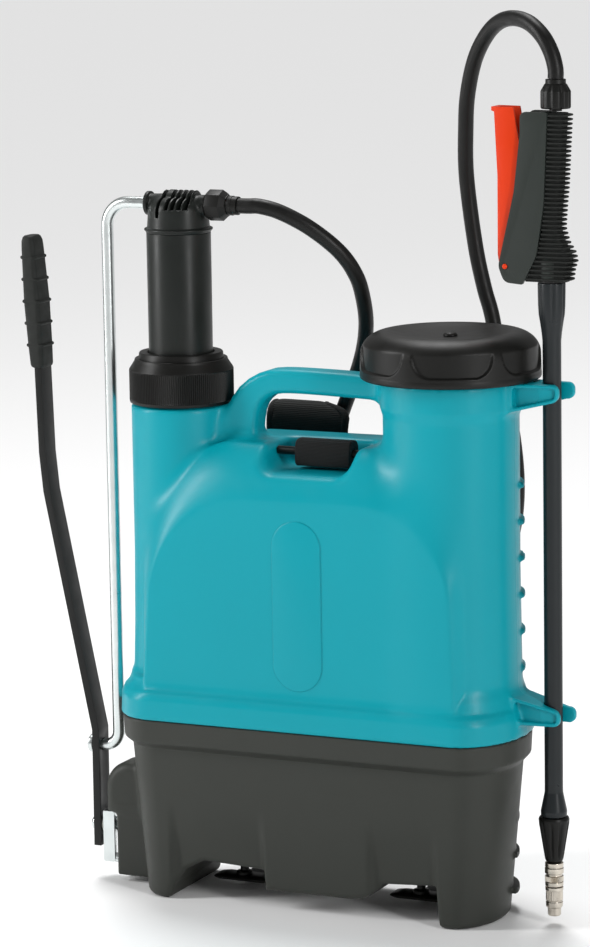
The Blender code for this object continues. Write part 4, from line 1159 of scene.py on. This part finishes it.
# ---------------------------------------------------------------- harness
SIDES = {"left": -1, "right": 1}
SWELL_FRAMES = 18
HARNESS_X = 11.0
HOOK_X = {"left": -85.0, "right": 92.0}


def band(stations, thickness, across=9, smooth=6.0, thin=0.25):
    """Flat band across X with rounded edges along smooth (x, y, z, width) stations."""
    line = smooth_route([s[:3] for s in stations], smooth)
    measured = [0.0]
    for a, b in zip(stations, stations[1:]):
        measured.append(measured[-1] + (Vector(b[:3]) - Vector(a[:3])).length)
    rings = []
    for i, here in enumerate(line):
        share = measured[-1] * i / (len(line) - 1)
        width = float(np.interp(share, measured, [s[3] for s in stations]))
        along = line[min(i + 1, len(line) - 1)] - line[max(i - 1, 0)]
        along = Vector((0, along.y, along.z)).normalized()
        normal = Vector((0, -along.z, along.y))
        ring = []
        for side in (1, -1):
            for k in range(across):
                t = -1 + 2 * k / (across - 1)
                u = side * t * (width / 2)
                edge = math.sqrt(max(0.0, 1 - abs(t) ** 6))
                ring.append(tuple(here + Vector((u, 0, 0)) - side * normal
                                  * (thickness / 2 * (thin + (1 - thin) * edge))))
        rings.append(ring)
    return loft(rings)


def shoulder_line(side):
    run = [(59, 74, 408, 76), (59, 74, 424, 78), (60, 78, 437, 77), (72, 90, 441.5, 56),
           (76, 104, 438, 54), (78, 113, 424, 56), (79, 117, 400, 58), (80, 119, 350, 58),
           (80, 118, 290, 56), (78, 115, 240, 52), (76, 111, 215, 42)]
    return [(HARNESS_X + side * x, y, z, width) for x, y, z, width in run]


def swell(obj, pressure, cap):
    """Let trapped air fill a closed fabric shape, with no point moving past the cap."""
    start = [vertex.co.copy() for vertex in obj.data.vertices]
    modifier = obj.modifiers.new("air", "CLOTH")
    settings = modifier.settings
    settings.quality = 5
    settings.mass = 0.2
    settings.use_pressure = True
    settings.uniform_pressure_force = pressure
    settings.effector_weights.gravity = 0.0
    settings.tension_stiffness = 25
    settings.compression_stiffness = 25
    settings.bending_stiffness = 2.0
    scene = bpy.context.scene
    for number in range(1, SWELL_FRAMES + 1):
        scene.frame_set(number)
    graph = bpy.context.evaluated_depsgraph_get()
    mesh = bpy.data.meshes.new_from_object(obj.evaluated_get(graph))
    for vertex, was in zip(mesh.vertices, start):
        moved = vertex.co - was
        if moved.length > cap:
            vertex.co = was + moved.normalized() * cap
    obj.modifiers.clear()
    obj.data = mesh
    scene.frame_set(1)


def make_pad(name, side):
    points, faces = band(shoulder_line(side), 7.0, across=13, smooth=5.0, thin=0.75)
    obj = add_piece("pad_" + name, points, faces, "pad_fabric", "root",
                    ("shoulder_pad_" + name,), 70.0)
    remesh = obj.modifiers.new("even", "REMESH")
    remesh.mode = "VOXEL"
    remesh.voxel_size = 0.0042
    bake_modifiers(obj)
    swell(obj, pressure=3.0, cap=0.003)
    smooth = obj.modifiers.new("round", "SUBSURF")
    smooth.levels = 1
    smooth.render_levels = 1
    bake_modifiers(obj)
    finish_piece(obj, "pad_fabric", "root", (), 80.0)
    edging(name, side)


def edging(name, side):
    """Bound edge of the pad: a woven tape folded over both long sides."""
    stations = shoulder_line(side)
    parts = []
    for edge in (-1, 1):
        route = [(x + edge * (width / 2 - 1.6), y, z) for x, y, z, width in stations]
        parts.append(swept(smooth_route(route, 5.0), 3.7, 12))
    add_piece("pad_edging_" + name, *merge(*parts), "webbing", "root", (), 60.0)


def make_hook(name, middle):
    """Flat hook bar under its arch, with a collared stem up into the base."""
    bar = []
    for z, half_x, half_y in ((9.5, 23, 8.4), (9.9, 24.6, 9.6), (11.4, 27.4, 10.8), (12.4, 27.8, 11),
                              (13.4, 26.6, 10.2), (15, 19.5, 7.6)):
        plan = soften([(-half_x, -half_y), (half_x, -half_y), (half_x, half_y),
                       (-half_x, half_y)], 4.0)
        bar.append([(middle + x, 2 + y, z) for x, y in plan])
    stem = [(13.0, 0), (13.0, 8.4), (17.6, 7.4), (18.4, 4.0), (42, 4.0), (42, 0)]
    add_piece("hook_bar_" + name, *merge(loft(bar), turned(stem, (middle, 2), steps=40)),
              "black_plastic", "root", ("strap_hook_" + name,))


def make_harness():
    for name, side in SIDES.items():
        make_pad(name, side)
        top_x = HARNESS_X + side * 76
        foot_x = HOOK_X[name]
        upper = [(top_x, 110.5, 212, 30), (top_x, 110.2, 204, 30), (top_x, 110, 196, 30)]
        add_piece("upper_tape_" + name, *band(upper, 2.0), "webbing", "root",
                  ("pad_webbing_" + name,))
        lower = [(top_x, 104.4, 200, 25), (top_x, 104.4, 160, 25), (top_x, 101, 120, 25),
                 (foot_x + side * 2, 92, 60, 25), (foot_x, 80, 22, 25), (foot_x, 66, 10, 25),
                 (foot_x, 45, 7.5, 25), (foot_x, 15, 7.5, 25)]
        add_piece("lower_tape_" + name, *band(lower, 2.0), "webbing", "root",
                  ("lower_webbing_" + name,))
        refined("buckle_" + name, "black_plastic", "root", 1.2, 3)
        make_hook(name, foot_x)
    tail = [(10, -0.5, 409.2, 52), (10, 20, 409.2, 52), (10, 62, 409.2, 52), (10, 67.5, 409.6, 52)]
    add_piece("yoke_tape", *band(tail, 2.2), "webbing", "root", ("yoke_webbing",))
    refined("strap_loop", "webbing", "root", 1.6, 3)
    refined("strap_pin", "black_plastic", "root", 0.8, 3)


# ---------------------------------------------------------------- all pieces
make_studio()
make_tank()
make_base()
make_lid()
make_collar()
make_pump()
make_lever()
make_pivot()
make_rod()
make_lance()
make_handle()
make_harness()
